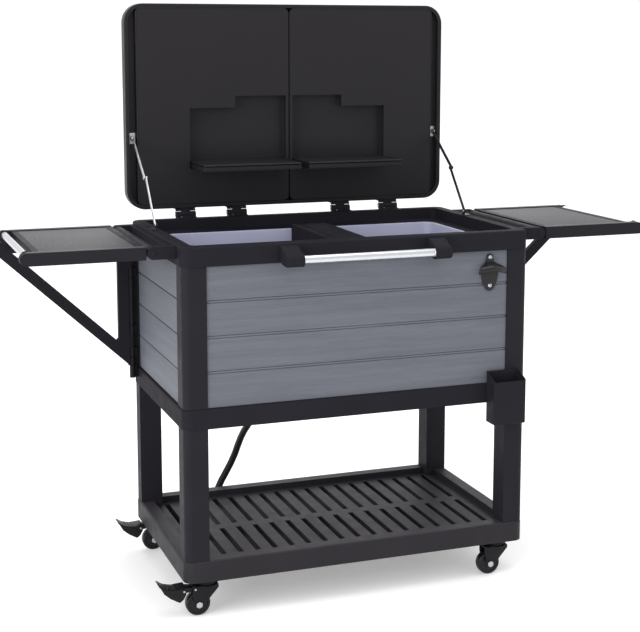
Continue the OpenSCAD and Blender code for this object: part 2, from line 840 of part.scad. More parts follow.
// Fold-down shelf in the lid, drawn for the open lid and standing out level
module lid_shelf() {
    w = shelf_w - 3;
    back = hinge_y + lid_face + shelf_lift;
    z = hinge_z + shelf_b;
    skirt = 2.5;
    color(black) place() translate([shelf_mid + 1.5, back, z]) difference() {
        union() {
            translate([0, -shelf_reach, -shelf_t / 2]) cube([w, shelf_reach, shelf_t]);
            rotate([0, 90, 0]) cylinder(r = shelf_t / 2, h = w);
            translate([-shelf_pin_l, 0, 0]) rotate([0, 90, 0])
                cylinder(r = shelf_pin_r, h = w + 2 * shelf_pin_l);
        }
        translate([skirt, -shelf_reach + skirt, -shelf_t])
            cube([w - 2 * skirt, shelf_reach - skirt - shelf_t / 2, 1.5 * shelf_t - 3]);
        translate([skirt + 3, -shelf_reach + skirt + 3, shelf_t / 2 - 1])
            cube([w - 2 * skirt - 6, shelf_reach - skirt - 12, 2]);
    }
}
module lid_shelf_right() { lid_shelf(); }
module lid_shelf_left() { mirror([1, 0, 0]) lid_shelf(); }

// Middles of the four hinges
hinge_xs = [-hinge_x2, -hinge_x1, hinge_x1, hinge_x2];
// Width of the lid's knuckle between the two on the rim
lid_knuckle = 20;

module rim_hinges() {
    color(black) place() for (x = hinge_xs) translate([x, 0, 0]) difference() {
        union() {
            translate([-hinge_w / 2, body_d, rim_z + 4]) cube([hinge_w, 3, rim_h - 10]);
            for (s = [-1, 1]) translate([s * (hinge_w / 2 + lid_knuckle / 2 + gap) / 2, 0, 0]) {
                w = hinge_w / 2 - lid_knuckle / 2 - gap;
                translate([-w / 2, body_d, rim_top - 8]) cube([w, hinge_back, 8]);
                translate([-w / 2, hinge_y - knuckle_r, rim_top - 8])
                    cube([w, knuckle_r, hinge_up + 8]);
                translate([-w / 2, hinge_y, hinge_z]) rotate([0, 90, 0]) cylinder(r = knuckle_r, h = w);
            }
        }
        translate([-hinge_w, hinge_y, hinge_z]) rotate([0, 90, 0])
            cylinder(r = pin_r + fit, h = 2 * hinge_w);
    }
}

module hinge_pins() {
    color(steel) place() for (x = hinge_xs)
        translate([x - hinge_w / 2 - 1, hinge_y, hinge_z]) rotate([0, 90, 0])
            cylinder(r = pin_r, h = hinge_w + 2);
}

module lid_hinges() {
    color(black) lid_frame() for (x = hinge_xs) translate([x, 0, 0]) difference() {
        union() {
            translate([-lid_knuckle / 2, 0, 0]) rotate([0, 90, 0])
                cylinder(r = knuckle_r, h = lid_knuckle);
            translate([-lid_knuckle / 2, -lid_gap, -3.5]) cube([lid_knuckle, lid_gap, 7]);
            translate([-hinge_w / 2, -lid_gap, 1]) cube([hinge_w, 3, lid_t + lid_face - 9]);
        }
        translate([-hinge_w, 0, 0]) rotate([0, 90, 0]) cylinder(r = pin_r + fit, h = 2 * hinge_w);
    }
}

// Stay parts on the right side; the left ones are mirrored
module rim_stay_anchor() {
    translate([stay_x - 2, hinge_y - stay_rim, rim_top]) {
        translate([-2, -anchor_l / 2, 0]) cube([14, anchor_l, anchor_t]);
        translate([-2, 0, 0]) rotate([90, 0, 90]) linear_extrude(2) {
            translate([0, hinge_up + stay_up]) circle(5);
            translate([-5, 0]) square([10, hinge_up + stay_up]);
        }
        translate([-2, 0, hinge_up + stay_up]) rotate([0, 90, 0])
            cylinder(r = stay_pin_r, h = stay_t + 2.6);
    }
}
module rim_stay_anchors() { color(steel) place() both_sides() rim_stay_anchor(); }

// The lid's anchors sit on the gutter floor
module lid_stay_anchors() {
    floor_z = lid_face + gutter_t;
    ear_x = stay_x + stay_t + 1.8;
    color(steel) lid_frame() both_sides() translate([0, -stay_lid, 0]) {
        translate([stay_x - 4, -anchor_l / 2, floor_z - anchor_t]) cube([13, anchor_l, anchor_t]);
        translate([ear_x, 0, 0]) rotate([90, 0, 90]) linear_extrude(2) {
            translate([0, stay_up]) circle(5);
            translate([-5, stay_up]) square([10, floor_z - stay_up]);
        }
        translate([ear_x - stay_t - 0.6, 0, stay_up]) rotate([0, 90, 0])
            cylinder(r = stay_pin_r, h = stay_t + 2.6);
    }
}

// A flat link with round ends, a hole at its foot and a rivet head at the elbow
module stay_link(l, head) {
    rotate([90, 0, 90]) {
        linear_extrude(stay_t) difference() {
            union() {
                circle(stay_w / 2);
                translate([l, 0]) circle(stay_w / 2);
                translate([0, -stay_w / 2]) square([l, stay_w]);
            }
            circle(stay_pin_r + fit);
        }
        translate([l, 0, head > 0 ? stay_t - 0.01 : -1.49]) cylinder(r = 4, h = 1.5);
    }
}

module stay_lower() {
    color(steel) place() translate([stay_x - 1.7, hinge_y - stay_rim, hinge_z + stay_up])
        rotate([stay_low_a, 0, 0]) stay_link(stay_low, -1);
}
module stay_upper() {
    color(steel) place() translate([stay_x + 1.5, hinge_y + stay_up, hinge_z + stay_lid])
        rotate([stay_high_a, 0, 0]) stay_link(stay_high, 1);
}
module stay_lower_right() { stay_lower(); }
module stay_lower_left() { mirror([1, 0, 0]) stay_lower(); }
module stay_upper_right() { stay_upper(); }
module stay_upper_left() { mirror([1, 0, 0]) stay_upper(); }

// Side rails on the rim, with an ear at each end for the table's pivot
module table_mounts() {
    z0 = table_top_z - table_h;
    color(soft_black) place() both_sides() difference() {
        union() {
            translate([half_w, table_front, z0]) cube([table_side, table_w, table_h]);
            for (y = [table_front, table_back - table_rail]) {
                translate([half_w, y, z0]) cube([table_pivot, table_rail, table_h]);
                translate([table_x, y, table_mid_z]) rotate([-90, 0, 0])
                    cylinder(r = table_h / 2, h = table_rail);
            }
        }
        // Grooves along the top of the rail
        for (x = [5, 11])
            translate([half_w + x, table_front + table_rail, table_top_z - 2])
                cube([3, table_w - 2 * table_rail, 3]);
        for (y = [table_front, table_back - table_rail])
            translate([table_x, y - 1, table_mid_z]) rotate([-90, 0, 0])
                cylinder(r = table_pin_r + fit, h = table_rail + 2);
    }
}

// Pins of the tables and of the brackets
module side_pins() {
    l = table_rail + 14;
    color(steel) place() both_sides() {
        for (y = [table_front - 1, table_back - l + 1])
            translate([table_x, y, table_mid_z]) rotate([-90, 0, 0]) cylinder(r = table_pin_r, h = l);
        for (z = knuckle_zs)
            translate([bracket_x, bracket_y, z - 22]) cylinder(r = bracket_pin_r, h = knuckle_h + 44);
    }
}

// Welded frame of a side table on the right: rails, end bar, handle and pivot tube
module table_frame() {
    z0 = table_top_z - table_h;
    rail_x = table_x + table_h / 2 + 2;
    inner_y = table_front + table_rail + 0.5;
    inner_w = table_w - 2 * table_rail - 1;
    color(black) place() difference() {
        union() {
            for (y = [table_front, table_back - table_rail]) {
                translate([rail_x, y, z0]) cube([table_end - table_h / 2 - rail_x, table_rail, table_h]);
                translate([table_end - table_h / 2, y, table_mid_z]) rotate([-90, 0, 0])
                    cylinder(r = table_h / 2, h = table_rail);
            }
            translate([table_x, inner_y, table_mid_z]) rotate([-90, 0, 0])
                cylinder(r = table_tube_r, h = inner_w);
            translate([table_x, inner_y, table_mid_z - 6])
                cube([rail_x - table_x + 4, inner_w, 12]);
            translate([rail_x, table_front + 1, z0 + 4]) cube([14, table_w - 2, table_h - 5]);
            translate([end_bar_x, table_front + 1, z0 + 4]) cube([end_bar, table_w - 2, table_h - 5]);
        }
        // Blind sockets that hold the grip
        translate([grip_x, table_front + 6, grip_z]) rotate([-90, 0, 0])
            cylinder(r = grip_r, h = table_w - 12);
        for (y = [inner_y - 1, table_back - table_rail - 14])
            translate([table_x, y, table_mid_z]) rotate([-90, 0, 0])
                cylinder(r = table_pin_r + fit, h = 15);
    }
}
module table_frame_right() { table_frame(); }
module table_frame_left() { mirror([1, 0, 0]) table_frame(); }

// Polished tube across the end of a side table
module table_grip() {
    color(steel) place() translate([grip_x, table_front + 6, grip_z]) rotate([-90, 0, 0])
        cylinder(r = grip_r, h = table_w - 12);
}
module table_grip_right() { table_grip(); }
module table_grip_left() { mirror([1, 0, 0]) table_grip(); }

// Sheet top of a side table, let in between the rails
module table_top() {
    x0 = table_x + table_h / 2 + 2 + 14;
    x1 = end_bar_x;
    color("#77757a") place() {
        translate([x0, table_front + table_rail, table_top_z - 6])
            cube([x1 - x0, table_w - 2 * table_rail, 4]);
        for (k = [1, 2])
            translate([x0, table_front + k * table_w / 3 - 6, table_top_z - 16])
                cube([x1 - x0, 12, 10]);
    }
}
module table_top_right() { table_top(); }
module table_top_left() { mirror([1, 0, 0]) table_top(); }

// Heights of the knuckles on a bracket's upright, low and high
knuckle_h = 30;
knuckle_zs = [bracket_top - bracket_h + 40, bracket_top - 70];

// Folding bracket on the right: a plate with a three-cornered window
module bracket() {
    low = bracket_top - bracket_h;
    root = half_w + table_side;
    tip = half_w + bracket_reach;
    w = bracket_w;
    fall = (bracket_h - bracket_tip) / (tip - root);
    thick = w * sqrt(1 + fall * fall);
    color(black) place() difference() {
        union() {
            translate([0, bracket_y + bracket_t / 2, 0]) rotate([90, 0, 0]) linear_extrude(bracket_t)
                difference() {
                    polygon([
                        [root, low], [root, bracket_top],
                        [tip, bracket_top], [tip, bracket_top - bracket_tip],
                    ]);
                    window(root + w, bracket_top - w, low + w * fall + thick, fall);
                }
            for (z = knuckle_zs) {
                translate([bracket_x, bracket_y, z]) cylinder(r = 6, h = knuckle_h);
                translate([bracket_x, bracket_y - bracket_t / 2, z]) cube([8, bracket_t, knuckle_h]);
            }
        }
        translate([bracket_x, bracket_y, low]) cylinder(r = bracket_pin_r + fit, h = bracket_h);
        translate([tip - 14, bracket_y + bracket_t, bracket_top - 14]) rotate([90, 0, 0])
            cylinder(r = 3, h = 2 * bracket_t);
    }
}
// Three-cornered window with its upright side at x
module window(x, top, foot, fall) {
    r = 4;
    reach = (top - foot) / fall;
    polygon([
        [x, foot + 2 * r], [x + r, foot + r], [x + 2 * r, foot + 2 * r * fall],
        [x + reach, top], [x, top],
    ]);
}
module bracket_right() { bracket(); }
module bracket_left() { mirror([1, 0, 0]) bracket(); }

// Hinge bars that carry the brackets on the rear posts
module bracket_hinges() {
    low = rail_z + 18;
    bar_y = bracket_y + 4;
    plate_w = 22;
    color(black) place() both_sides() difference() {
        union() {
            translate([half_w, bar_y, low]) cube([7, plate_w, bracket_top - low]);
            translate([half_w - post_inset, bar_y, rail_top]) cube([post_inset + 1, plate_w, panel_h]);
            for (z = knuckle_zs, s = [-1, 1])
                translate([0, 0, z + (s < 0 ? -20 - gap : knuckle_h + gap)]) {
                    translate([bracket_x, bracket_y, 0]) cylinder(r = 6, h = 20);
                    translate([half_w + 1, bracket_y, 0]) cube([12, 10, 20]);
                }
        }
        translate([bracket_x, bracket_y, low - 1]) cylinder(r = bracket_pin_r + fit, h = bracket_h + 40);
    }
}

slat_shelf();
lower_posts();
lower_rail();
base_pan();
upper_posts();
front_planks();
rear_planks();
left_planks();
right_planks();
insulation();
ice_tub();
tub_divider();
top_rim();
handle_brackets();
handle_bar();
bottle_opener();
opener_screws();
cap_bin();
drain_fitting();
drain_nut();
drain_hose();
caster_plates();
caster_fork(-1, 0);  // caster_fork_fl
caster_fork(1, 0);  // caster_fork_fr
caster_fork(-1, 1);  // caster_fork_rl
caster_fork(1, 1);  // caster_fork_rr
caster_wheel(-1, 0);  // caster_wheel_fl
caster_wheel(1, 0);  // caster_wheel_fr
caster_wheel(-1, 1);  // caster_wheel_rl
caster_wheel(1, 1);  // caster_wheel_rr
caster_axle(-1, 0);  // caster_axle_fl
caster_axle(1, 0);  // caster_axle_fr
caster_axle(-1, 1);  // caster_axle_rl
caster_axle(1, 1);  // caster_axle_rr
brake_pedal(0);  // brake_pedal_fl
brake_pedal(1);  // brake_pedal_rl
rim_hinges();
hinge_pins();
lid_hinges();
lid_shell();
lid_panels();
lid_shelf_left();
lid_shelf_right();
lid_stay_anchors();
rim_stay_anchors();
stay_lower_left();
stay_upper_left();
stay_lower_right();
stay_upper_right();
table_mounts();
side_pins();
table_frame_left();
table_top_left();
table_grip_left();
table_frame_right();
table_top_right();
table_grip_right();
bracket_hinges();
bracket_left();
bracket_right();
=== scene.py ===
"""Looks of a patio cooler cart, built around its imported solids. Metres, +Z up."""

import json
import math

import bmesh
import bpy
from mathutils import Matrix, Vector


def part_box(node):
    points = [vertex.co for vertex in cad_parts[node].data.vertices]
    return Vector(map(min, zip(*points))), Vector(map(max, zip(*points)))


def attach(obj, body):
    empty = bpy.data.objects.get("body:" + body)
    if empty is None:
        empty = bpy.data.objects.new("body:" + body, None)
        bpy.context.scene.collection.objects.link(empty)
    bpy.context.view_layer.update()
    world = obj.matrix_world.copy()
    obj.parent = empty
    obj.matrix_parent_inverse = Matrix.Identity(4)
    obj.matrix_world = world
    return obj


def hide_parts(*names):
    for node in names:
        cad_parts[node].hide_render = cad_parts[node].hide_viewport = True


bl_info = {
    "name": "Patio cooler cart",
    "version": (1, 0, 0),
    "blender": (4, 5, 0),
    "location": "View3D > Sidebar > Cooler cart",
    "description": "Boards, fittings, casters and finishes of a patio cooler cart",
    "category": "Object",
}

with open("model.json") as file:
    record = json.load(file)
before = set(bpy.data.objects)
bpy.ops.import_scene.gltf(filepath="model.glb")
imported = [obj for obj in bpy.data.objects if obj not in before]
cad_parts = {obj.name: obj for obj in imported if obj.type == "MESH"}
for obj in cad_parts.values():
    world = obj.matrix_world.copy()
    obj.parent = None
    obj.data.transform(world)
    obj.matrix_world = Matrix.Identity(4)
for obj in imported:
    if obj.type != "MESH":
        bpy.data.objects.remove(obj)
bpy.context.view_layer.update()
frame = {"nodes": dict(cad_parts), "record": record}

MM = 0.001
RIM_LOW, RIM_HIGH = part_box("top_rim")
FRONT = RIM_LOW.y
BACK = RIM_HIGH.y
HALF_W = RIM_HIGH.x
RIM_TOP = RIM_HIGH.z
SIDES = (("left", -1), ("right", 1))

# Middles of the lid's hinges and the place of their axis
HINGE_XS = [x * MM for x in (-246, -126, 126, 246)]
HINGE_Y = FRONT + 466 * MM
HINGE_Z = 757 * MM

# Table pins: out from the body's side and down from the rails' top
TABLE_PIN_OUT = 45 * MM
TABLE_PIN_DROP = 12.5 * MM

# Upright axis of the folding brackets, out from the body's side
BRACKET_OUT = 13 * MM
BRACKET_Y = FRONT + 400 * MM


# Meshes


def metres(points):
    """Points or profiles given in millimetres."""
    return [tuple(value * MM for value in point) for point in points]


def piece(name, bm, body, slot, stands_for=(), bevel=0.0, smooth=35.0, subdivide=0):
    """Turns a bmesh into an object that rides on a body and takes its slot's material.

    The bevel is in millimetres, and edges that turn by more than smooth degrees stay sharp.
    """
    bmesh.ops.remove_doubles(bm, verts=bm.verts, dist=1e-6)
    bmesh.ops.recalc_face_normals(bm, faces=bm.faces)
    mesh = bpy.data.meshes.new(name)
    bm.to_mesh(mesh)
    bm.free()
    obj = bpy.data.objects.new(name, mesh)
    bpy.context.scene.collection.objects.link(obj)
    for face in mesh.polygons:
        face.use_smooth = True
    mesh.set_sharp_from_angle(angle=math.radians(smooth))
    if bevel:
        soft = obj.modifiers.new("Soft edges", "BEVEL")
        soft.width = bevel * MM
        soft.segments = 2
        soft.limit_method = "ANGLE"
        soft.angle_limit = math.radians(32)
        soft.harden_normals = True
    if subdivide:
        rounder = obj.modifiers.new("Round", "SUBSURF")
        rounder.levels = rounder.render_levels = subdivide
    mesh.materials.append(finish_for(slot))
    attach(obj, body)
    if stands_for:
        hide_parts(*stands_for)
    return obj


def bevel_edges(bm, edges, width, segments=2):
    """Rounds edges by a width in millimetres, always in the same order."""
    bm.edges.index_update()
    bmesh.ops.bevel(
        bm, geom=sorted(edges, key=lambda edge: edge.index), offset=width * MM, offset_type="OFFSET",
        segments=segments, profile=0.5, affect="EDGES", material=-1, clamp_overlap=True,
    )


def add_block(bm, low, high, bevel=0.0, segments=2):
    """Box between two corners, in metres, with its edges rounded by bevel millimetres."""
    low, high = Vector(low), Vector(high)
    made = bmesh.ops.create_cube(bm, size=1.0)["verts"]
    bmesh.ops.scale(bm, verts=made, vec=high - low)
    bmesh.ops.translate(bm, verts=made, vec=(low + high) / 2)
    if bevel:
        bevel_edges(bm, {edge for vert in made for edge in vert.link_edges}, bevel, segments)
    return made


def add_rod(bm, start, end, radius, segments=24, bevel=0.0):
    """Round bar between two points, its rim edges rounded by bevel millimetres."""
    start, end = Vector(start), Vector(end)
    run = end - start
    turn = run.to_track_quat("Z", "Y").to_matrix().to_4x4()
    made = bmesh.ops.create_cone(
        bm, cap_ends=True, segments=segments, radius1=radius, radius2=radius,
        depth=run.length, matrix=Matrix.Translation((start + end) / 2) @ turn,
    )["verts"]
    if bevel:
        caps = {face for vert in made for face in vert.link_faces if len(face.verts) > 4}
        bevel_edges(bm, {edge for face in caps for edge in face.edges}, bevel, 3)


def edges_within(verts):
    """Edges that join two of the vertices."""
    return {edge for vert in verts for edge in vert.link_edges if edge.other_vert(vert) in verts}


def extruded(bm, faces, matrix, thickness):
    """Extrudes flat faces along the normal of their drawing plane and gives the far vertices."""
    out = bmesh.ops.extrude_face_region(bm, geom=faces)["geom"]
    far = [item for item in out if isinstance(item, bmesh.types.BMVert)]
    bmesh.ops.translate(bm, verts=far, vec=matrix.to_3x3() @ Vector((0, 0, 1)) * thickness)
    return far


def add_outline(bm, points, thickness, matrix, bevel=0.0, segments=2):
    """Flat outline, drawn in a plane and given a thickness along the plane's normal."""
    verts = [bm.verts.new(matrix @ Vector((x, y, 0.0))) for x, y in points]
    far = extruded(bm, [bm.faces.new(verts)], matrix, thickness)
    if bevel:
        bevel_edges(bm, edges_within(verts) | edges_within(far), bevel, segments)


def add_turned(bm, profile, centre, axis, steps=40, close=True):
    """Turned shape: a profile of (radius, along) pairs spun round an axis through centre."""
    axis = Vector(axis).normalized()
    side = axis.orthogonal().normalized()
    centre = Vector(centre)
    verts = [bm.verts.new(centre + side * r + axis * a) for r, a in profile]
    count = len(verts) if close else len(verts) - 1
    edges = [bm.edges.new((verts[i], verts[(i + 1) % len(verts)])) for i in range(count)]
    bmesh.ops.spin(
        bm, geom=verts + edges, cent=centre, axis=axis, angle=math.tau, steps=steps,
        use_merge=True, use_duplicate=False, use_normal_flip=False,
    )


def add_cap(bm, profile, centre, axis, steps=24):
    """Pin cap, rivet or screw head, turned from a profile in millimetres."""
    add_turned(bm, metres(profile), centre, axis, steps, close=False)


def add_screw(bm, centre, axis, radius, height):
    """Domed screw head with a round driver recess."""
    profile = (
        (0.0, -0.6), (radius, -0.6), (radius, 0.15 * height), (0.88 * radius, 0.6 * height),
        (0.62 * radius, 0.92 * height), (0.42 * radius, height), (0.36 * radius, 0.45 * height),
        (0.0, 0.45 * height),
    )
    add_cap(bm, profile, centre, axis, 20)


def add_washer(bm, centre, axis, hole, outer, height):
    """Flat ring with a softened rim, in millimetres, laid on a face."""
    profile = (
        (hole, -0.2), (outer, -0.2), (outer, 0.6 * height), (outer - 0.4, height),
        (hole + 0.4, height), (hole, 0.6 * height),
    )
    add_turned(bm, metres(profile), centre, axis, steps=28)


def plane(origin, x_axis, y_axis):
    """Matrix of a drawing plane: its origin and its two directions."""
    x_axis, y_axis = Vector(x_axis).normalized(), Vector(y_axis).normalized()
    matrix = Matrix((x_axis, y_axis, x_axis.cross(y_axis))).transposed().to_4x4()
    matrix.translation = Vector(origin)
    return matrix


def arc(cx, cy, radius, start, end, steps):
    """Points of an arc, angles in degrees."""
    turns = [math.radians(start + (end - start) * i / steps) for i in range(steps + 1)]
    return [(cx + radius * math.cos(t), cy + radius * math.sin(t)) for t in turns]


def rounded(points, radii, steps=4):
    """Outline with its corners rounded, by one radius for all or one for each corner."""
    out = []
    count = len(points)
    for i in range(count):
        here = Vector(points[i])
        before = Vector(points[i - 1]) - here
        after = Vector(points[(i + 1) % count]) - here
        radius = radii[i] if isinstance(radii, (list, tuple)) else radii
        if radius <= 0:
            out.append(tuple(here))
            continue
        half = before.angle(after) / 2
        reach = min(radius / math.tan(half), before.length * 0.49, after.length * 0.49)
        a, b = here + before.normalized() * reach, here + after.normalized() * reach
        for k in range(steps + 1):
            t = k / steps
            out.append(tuple(a * (1 - t) ** 2 + here * 2 * t * (1 - t) + b * t**2))
    return out


def add_ring(bm, points, width, height, matrix, bevel):
    """Raised bead that follows a closed outline; width, height and bevel in millimetres."""
    verts = [bm.verts.new(matrix @ Vector((x, y, 0.0))) for x, y in points]
    face = bm.faces.new(verts)
    inset = bmesh.ops.inset_region(
        bm, faces=[face], thickness=width * MM, use_even_offset=True, use_boundary=True
    )["faces"]
    if not inset:
        raise RuntimeError("the bead is empty")
    bmesh.ops.delete(bm, geom=[face], context="FACES_ONLY")
    far = extruded(bm, inset, matrix, height * MM)
    tops = [
        edge for edge in edges_within(far)
        if len(edge.link_faces) == 2 and edge.calc_face_angle(0) > 0.8
    ]
    bevel_edges(bm, tops, bevel)


def oblong(x0, y0, x1, y1, radius, steps):
    """Rectangle with round corners, in metres."""
    return rounded([(x0, y0), (x1, y0), (x1, y1), (x0, y1)], radius, steps)


# Finishes


def hex_colour(text):
    """Linear colour of a screen colour such as 2b2a2d."""
    channels = [int(text[i : i + 2], 16) / 255 for i in (0, 2, 4)]
    linear = [c / 12.92 if c <= 0.04045 else ((c + 0.055) / 1.055) ** 2.4 for c in channels]
    return (*linear, 1.0)


FLOAT, COLOUR, VECTOR = "NodeSocketFloat", "NodeSocketColor", "NodeSocketVector"
SURFACE_OUTPUTS = (("Color", COLOUR), ("Roughness", FLOAT), ("Height", FLOAT), ("Normal", VECTOR))


def new_group(name, inputs, outputs=SURFACE_OUTPUTS):
    """Empty shader node group with named sockets: (name, type, default)."""
    group = bpy.data.node_groups.new(name, "ShaderNodeTree")
    for label, kind, default in inputs:
        made = group.interface.new_socket(name=label, in_out="INPUT", socket_type=kind)
        made.default_value = default
    for label, kind in outputs:
        group.interface.new_socket(name=label, in_out="OUTPUT", socket_type=kind)
    return group, group.nodes.new("NodeGroupInput").outputs, group.nodes.new("NodeGroupOutput").inputs


def put_out(group, out, **sockets):
    """Links sockets to the outputs of the group that have their names."""
    for name, socket in sockets.items():
        group.links.new(socket, out[name])


def node(tree, kind, links=None, **settings):
    """Node with its settings, and its inputs linked to sockets or given values."""
    made = tree.nodes.new(kind)
    for key, value in settings.items():
        setattr(made, key, value)
    for key, value in (links or {}).items():
        if isinstance(value, bpy.types.NodeSocket):
            tree.links.new(value, made.inputs[key])
        else:
            made.inputs[key].default_value = value
    return made


def object_place(tree):
    """Place on the piece, on which the patterns lie."""
    return node(tree, "ShaderNodeTexCoord").outputs["Object"]


def noise(tree, place, scale, detail, roughness=0.5):
    """Value of a noise pattern."""
    links = {"Vector": place, "Scale": scale, "Detail": detail, "Roughness": roughness}
    return node(tree, "ShaderNodeTexNoise", links).outputs["Fac"]


def soft_edges(tree, radius):
    """Outputs of the group that rounds and masks sharp edges."""
    group = bpy.data.node_groups["Soft edges"]
    return node(tree, "ShaderNodeGroup", {"Radius": radius}, node_tree=group).outputs


def shade(tree, colour, value, saturation=1.0):
    """Colour made lighter or darker."""
    links = {"Color": colour, "Value": value, "Saturation": saturation}
    return node(tree, "ShaderNodeHueSaturation", links).outputs["Color"]


def spread(tree, value, low, high, from_low=0.3, from_high=0.7):
    """Maps a noise value onto a range."""
    return node(
        tree, "ShaderNodeMapRange",
        {"Value": value, "From Min": from_low, "From Max": from_high, "To Min": low, "To Max": high},
    ).outputs["Result"]


def mix(tree, factor, first, second):
    """Colour between two colours."""
    made = node(tree, "ShaderNodeMix", {0: factor, 6: first, 7: second}, data_type="RGBA")
    return made.outputs[2]


def product(tree, first, second):
    """first * second"""
    return node(tree, "ShaderNodeMath", {0: first, 1: second}, operation="MULTIPLY").outputs[0]


def sum_of(tree, first, second, scale):
    """first + second * scale"""
    return node(
        tree, "ShaderNodeMath", {0: second, 1: scale, 2: first}, operation="MULTIPLY_ADD"
    ).outputs[0]


def vector_math(tree, operation, first, second, output="Vector"):
    """One operation on two vectors."""
    made = node(tree, "ShaderNodeVectorMath", {0: first, 1: second}, operation=operation)
    return made.outputs[output]


def make_edge_group():
    """Rounded normals at sharp edges, and a mask of the edges for wear."""
    group, given, out = new_group(
        "Soft edges", [("Radius", FLOAT, 0.0012)], [("Normal", VECTOR), ("Edge", FLOAT)]
    )
    normal = node(group, "ShaderNodeBevel", {"Radius": given["Radius"]}, samples=6).outputs["Normal"]
    flat = node(group, "ShaderNodeNewGeometry").outputs["Normal"]
    same = vector_math(group, "DOT_PRODUCT", normal, flat, "Value")
    put_out(group, out, Normal=normal, Edge=spread(group, same, 1.0, 0.0, 0.75, 0.995))


def make_mould_group():
    """Moulded or powder-coated surface: fine grain, faint clouding and paler edges."""
    group, given, out = new_group(
        "Moulded surface",
        [
            ("Base", COLOUR, (0.02, 0.02, 0.02, 1)), ("Grain Size", FLOAT, 900.0),
            ("Grain", FLOAT, 0.25), ("Clouding", FLOAT, 0.12), ("Edge Wear", FLOAT, 0.25),
            ("Roughness", FLOAT, 0.5), ("Edge Radius", FLOAT, 0.0012),
        ],
    )
    place = object_place(group)
    base = given["Base"]
    edge = soft_edges(group, given["Edge Radius"])
    cloud = noise(group, place, 9.0, 4.0)
    fine = noise(group, place, given["Grain Size"], 2.0)
    smear = noise(group, place, 38.0, 5.0, 0.65)
    clouded = mix(
        group, spread(group, cloud, 0.0, 1.0), shade(group, base, 0.72), shade(group, base, 1.45, 0.9)
    )
    based = mix(group, given["Clouding"], base, clouded)
    worn = product(group, edge["Edge"], given["Edge Wear"])
    patchy = product(group, worn, spread(group, smear, 0.4, 1.0))
    put_out(
        group, out,
        Color=mix(group, patchy, based, shade(group, base, 3.2, 0.7)),
        Roughness=sum_of(group, given["Roughness"], spread(group, smear, -0.5, 0.5), 0.14),
        Height=product(group, fine, given["Grain"]),
        Normal=edge["Normal"],
    )


def make_board_group():
    """Resin board with an embossed wood grain, drawn out along the smallest stretch."""
    group, given, out = new_group(
        "Board grain",
        [
            ("Base", COLOUR, (0.15, 0.17, 0.2, 1)), ("Shade", FLOAT, 0.5),
            ("Stretch", VECTOR, (2.2, 60.0, 60.0)), ("Roughness", FLOAT, 0.62),
        ],
    )
    place = object_place(group)
    base = given["Base"]
    run = vector_math(group, "MULTIPLY", place, given["Stretch"])
    bend = node(group, "ShaderNodeTexNoise", {"Vector": place, "Scale": 5.0, "Detail": 2.0})
    bent = vector_math(group, "ADD", run, bend.outputs["Color"])
    broad = noise(group, bent, 1.3, 5.0, 0.6)
    thin = noise(group, bent, 7.5, 6.0, 0.7)
    pore = noise(group, bent, 24.0, 3.0)
    edge = soft_edges(group, 0.0015)
    dark = shade(group, base, 0.66)
    light = shade(group, base, 1.28, 0.85)
    grain = sum_of(group, spread(group, broad, 0.0, 0.55), spread(group, thin, 0.0, 1.0), 0.45)
    shaded = mix(group, given["Shade"], base, mix(group, grain, dark, light))
    streak = product(group, spread(group, pore, 0.0, 1.0, 0.62, 0.72), 0.35)
    streaked = mix(group, streak, shaded, dark)
    height = sum_of(group, thin, broad, 0.8)
    put_out(
        group, out,
        Color=mix(group, product(group, edge["Edge"], 0.22), streaked, light),
        Roughness=sum_of(group, given["Roughness"], spread(group, thin, -0.5, 0.5), 0.2),
        Height=sum_of(group, height, spread(group, pore, 0.0, -1.0, 0.62, 0.72), 0.35),
        Normal=edge["Normal"],
    )


def make_metal_group():
    """Drawn or rolled metal: fine scratches along one direction and dull patches."""
    group, given, out = new_group(
        "Drawn metal",
        [
            ("Base", COLOUR, (0.6, 0.6, 0.62, 1)), ("Stretch", VECTOR, (4.0, 700.0, 700.0)),
            ("Roughness", FLOAT, 0.25), ("Dulling", FLOAT, 0.2),
        ],
    )
    place = object_place(group)
    base = given["Base"]
    scratch = noise(group, vector_math(group, "MULTIPLY", place, given["Stretch"]), 1.0, 3.0)
    patch = noise(group, place, 45.0, 4.0)
    amount = product(group, spread(group, patch, 0.0, 1.0), given["Dulling"])
    rough = sum_of(group, given["Roughness"], spread(group, scratch, -0.5, 0.5), 0.12)
    put_out(
        group, out,
        Color=mix(group, amount, base, shade(group, base, 0.7)),
        Roughness=sum_of(group, rough, amount, 0.5),
        Height=scratch,
        Normal=soft_edges(group, 0.0006)["Normal"],
    )


def make_pebble_group():
    """Pebbled sheet: small raised cells, with painted highlight on their tops and painted shade in the dips
    between them.
    """
    group, given, out = new_group(
        "Pebbled sheet",
        [("Base", COLOUR, (0.16, 0.16, 0.17, 1)), ("Cell Size", FLOAT, 420.0), ("Roughness", FLOAT, 0.6)],
    )
    place = object_place(group)
    base = given["Base"]
    cell = node(
        group, "ShaderNodeTexVoronoi",
        {"Vector": place, "Scale": given["Cell Size"], "Randomness": 0.9}, feature="SMOOTH_F1",
    )
    cloud = noise(group, place, 14.0, 4.0)
    # Painted light: the cells' tops are painted paler as highlight, and the dips between them darker as shade
    top = spread(group, cell.outputs["Distance"], 1.0, 0.0, 0.15, 0.6)
    dark = shade(group, base, 0.62)
    body = mix(group, top, dark, shade(group, base, 1.22))
    put_out(
        group, out,
        Color=mix(group, spread(group, cloud, 0.0, 0.35), body, dark),
        Roughness=sum_of(group, given["Roughness"], top, -0.12),
        Height=top,
        Normal=soft_edges(group, 0.0012)["Normal"],
    )


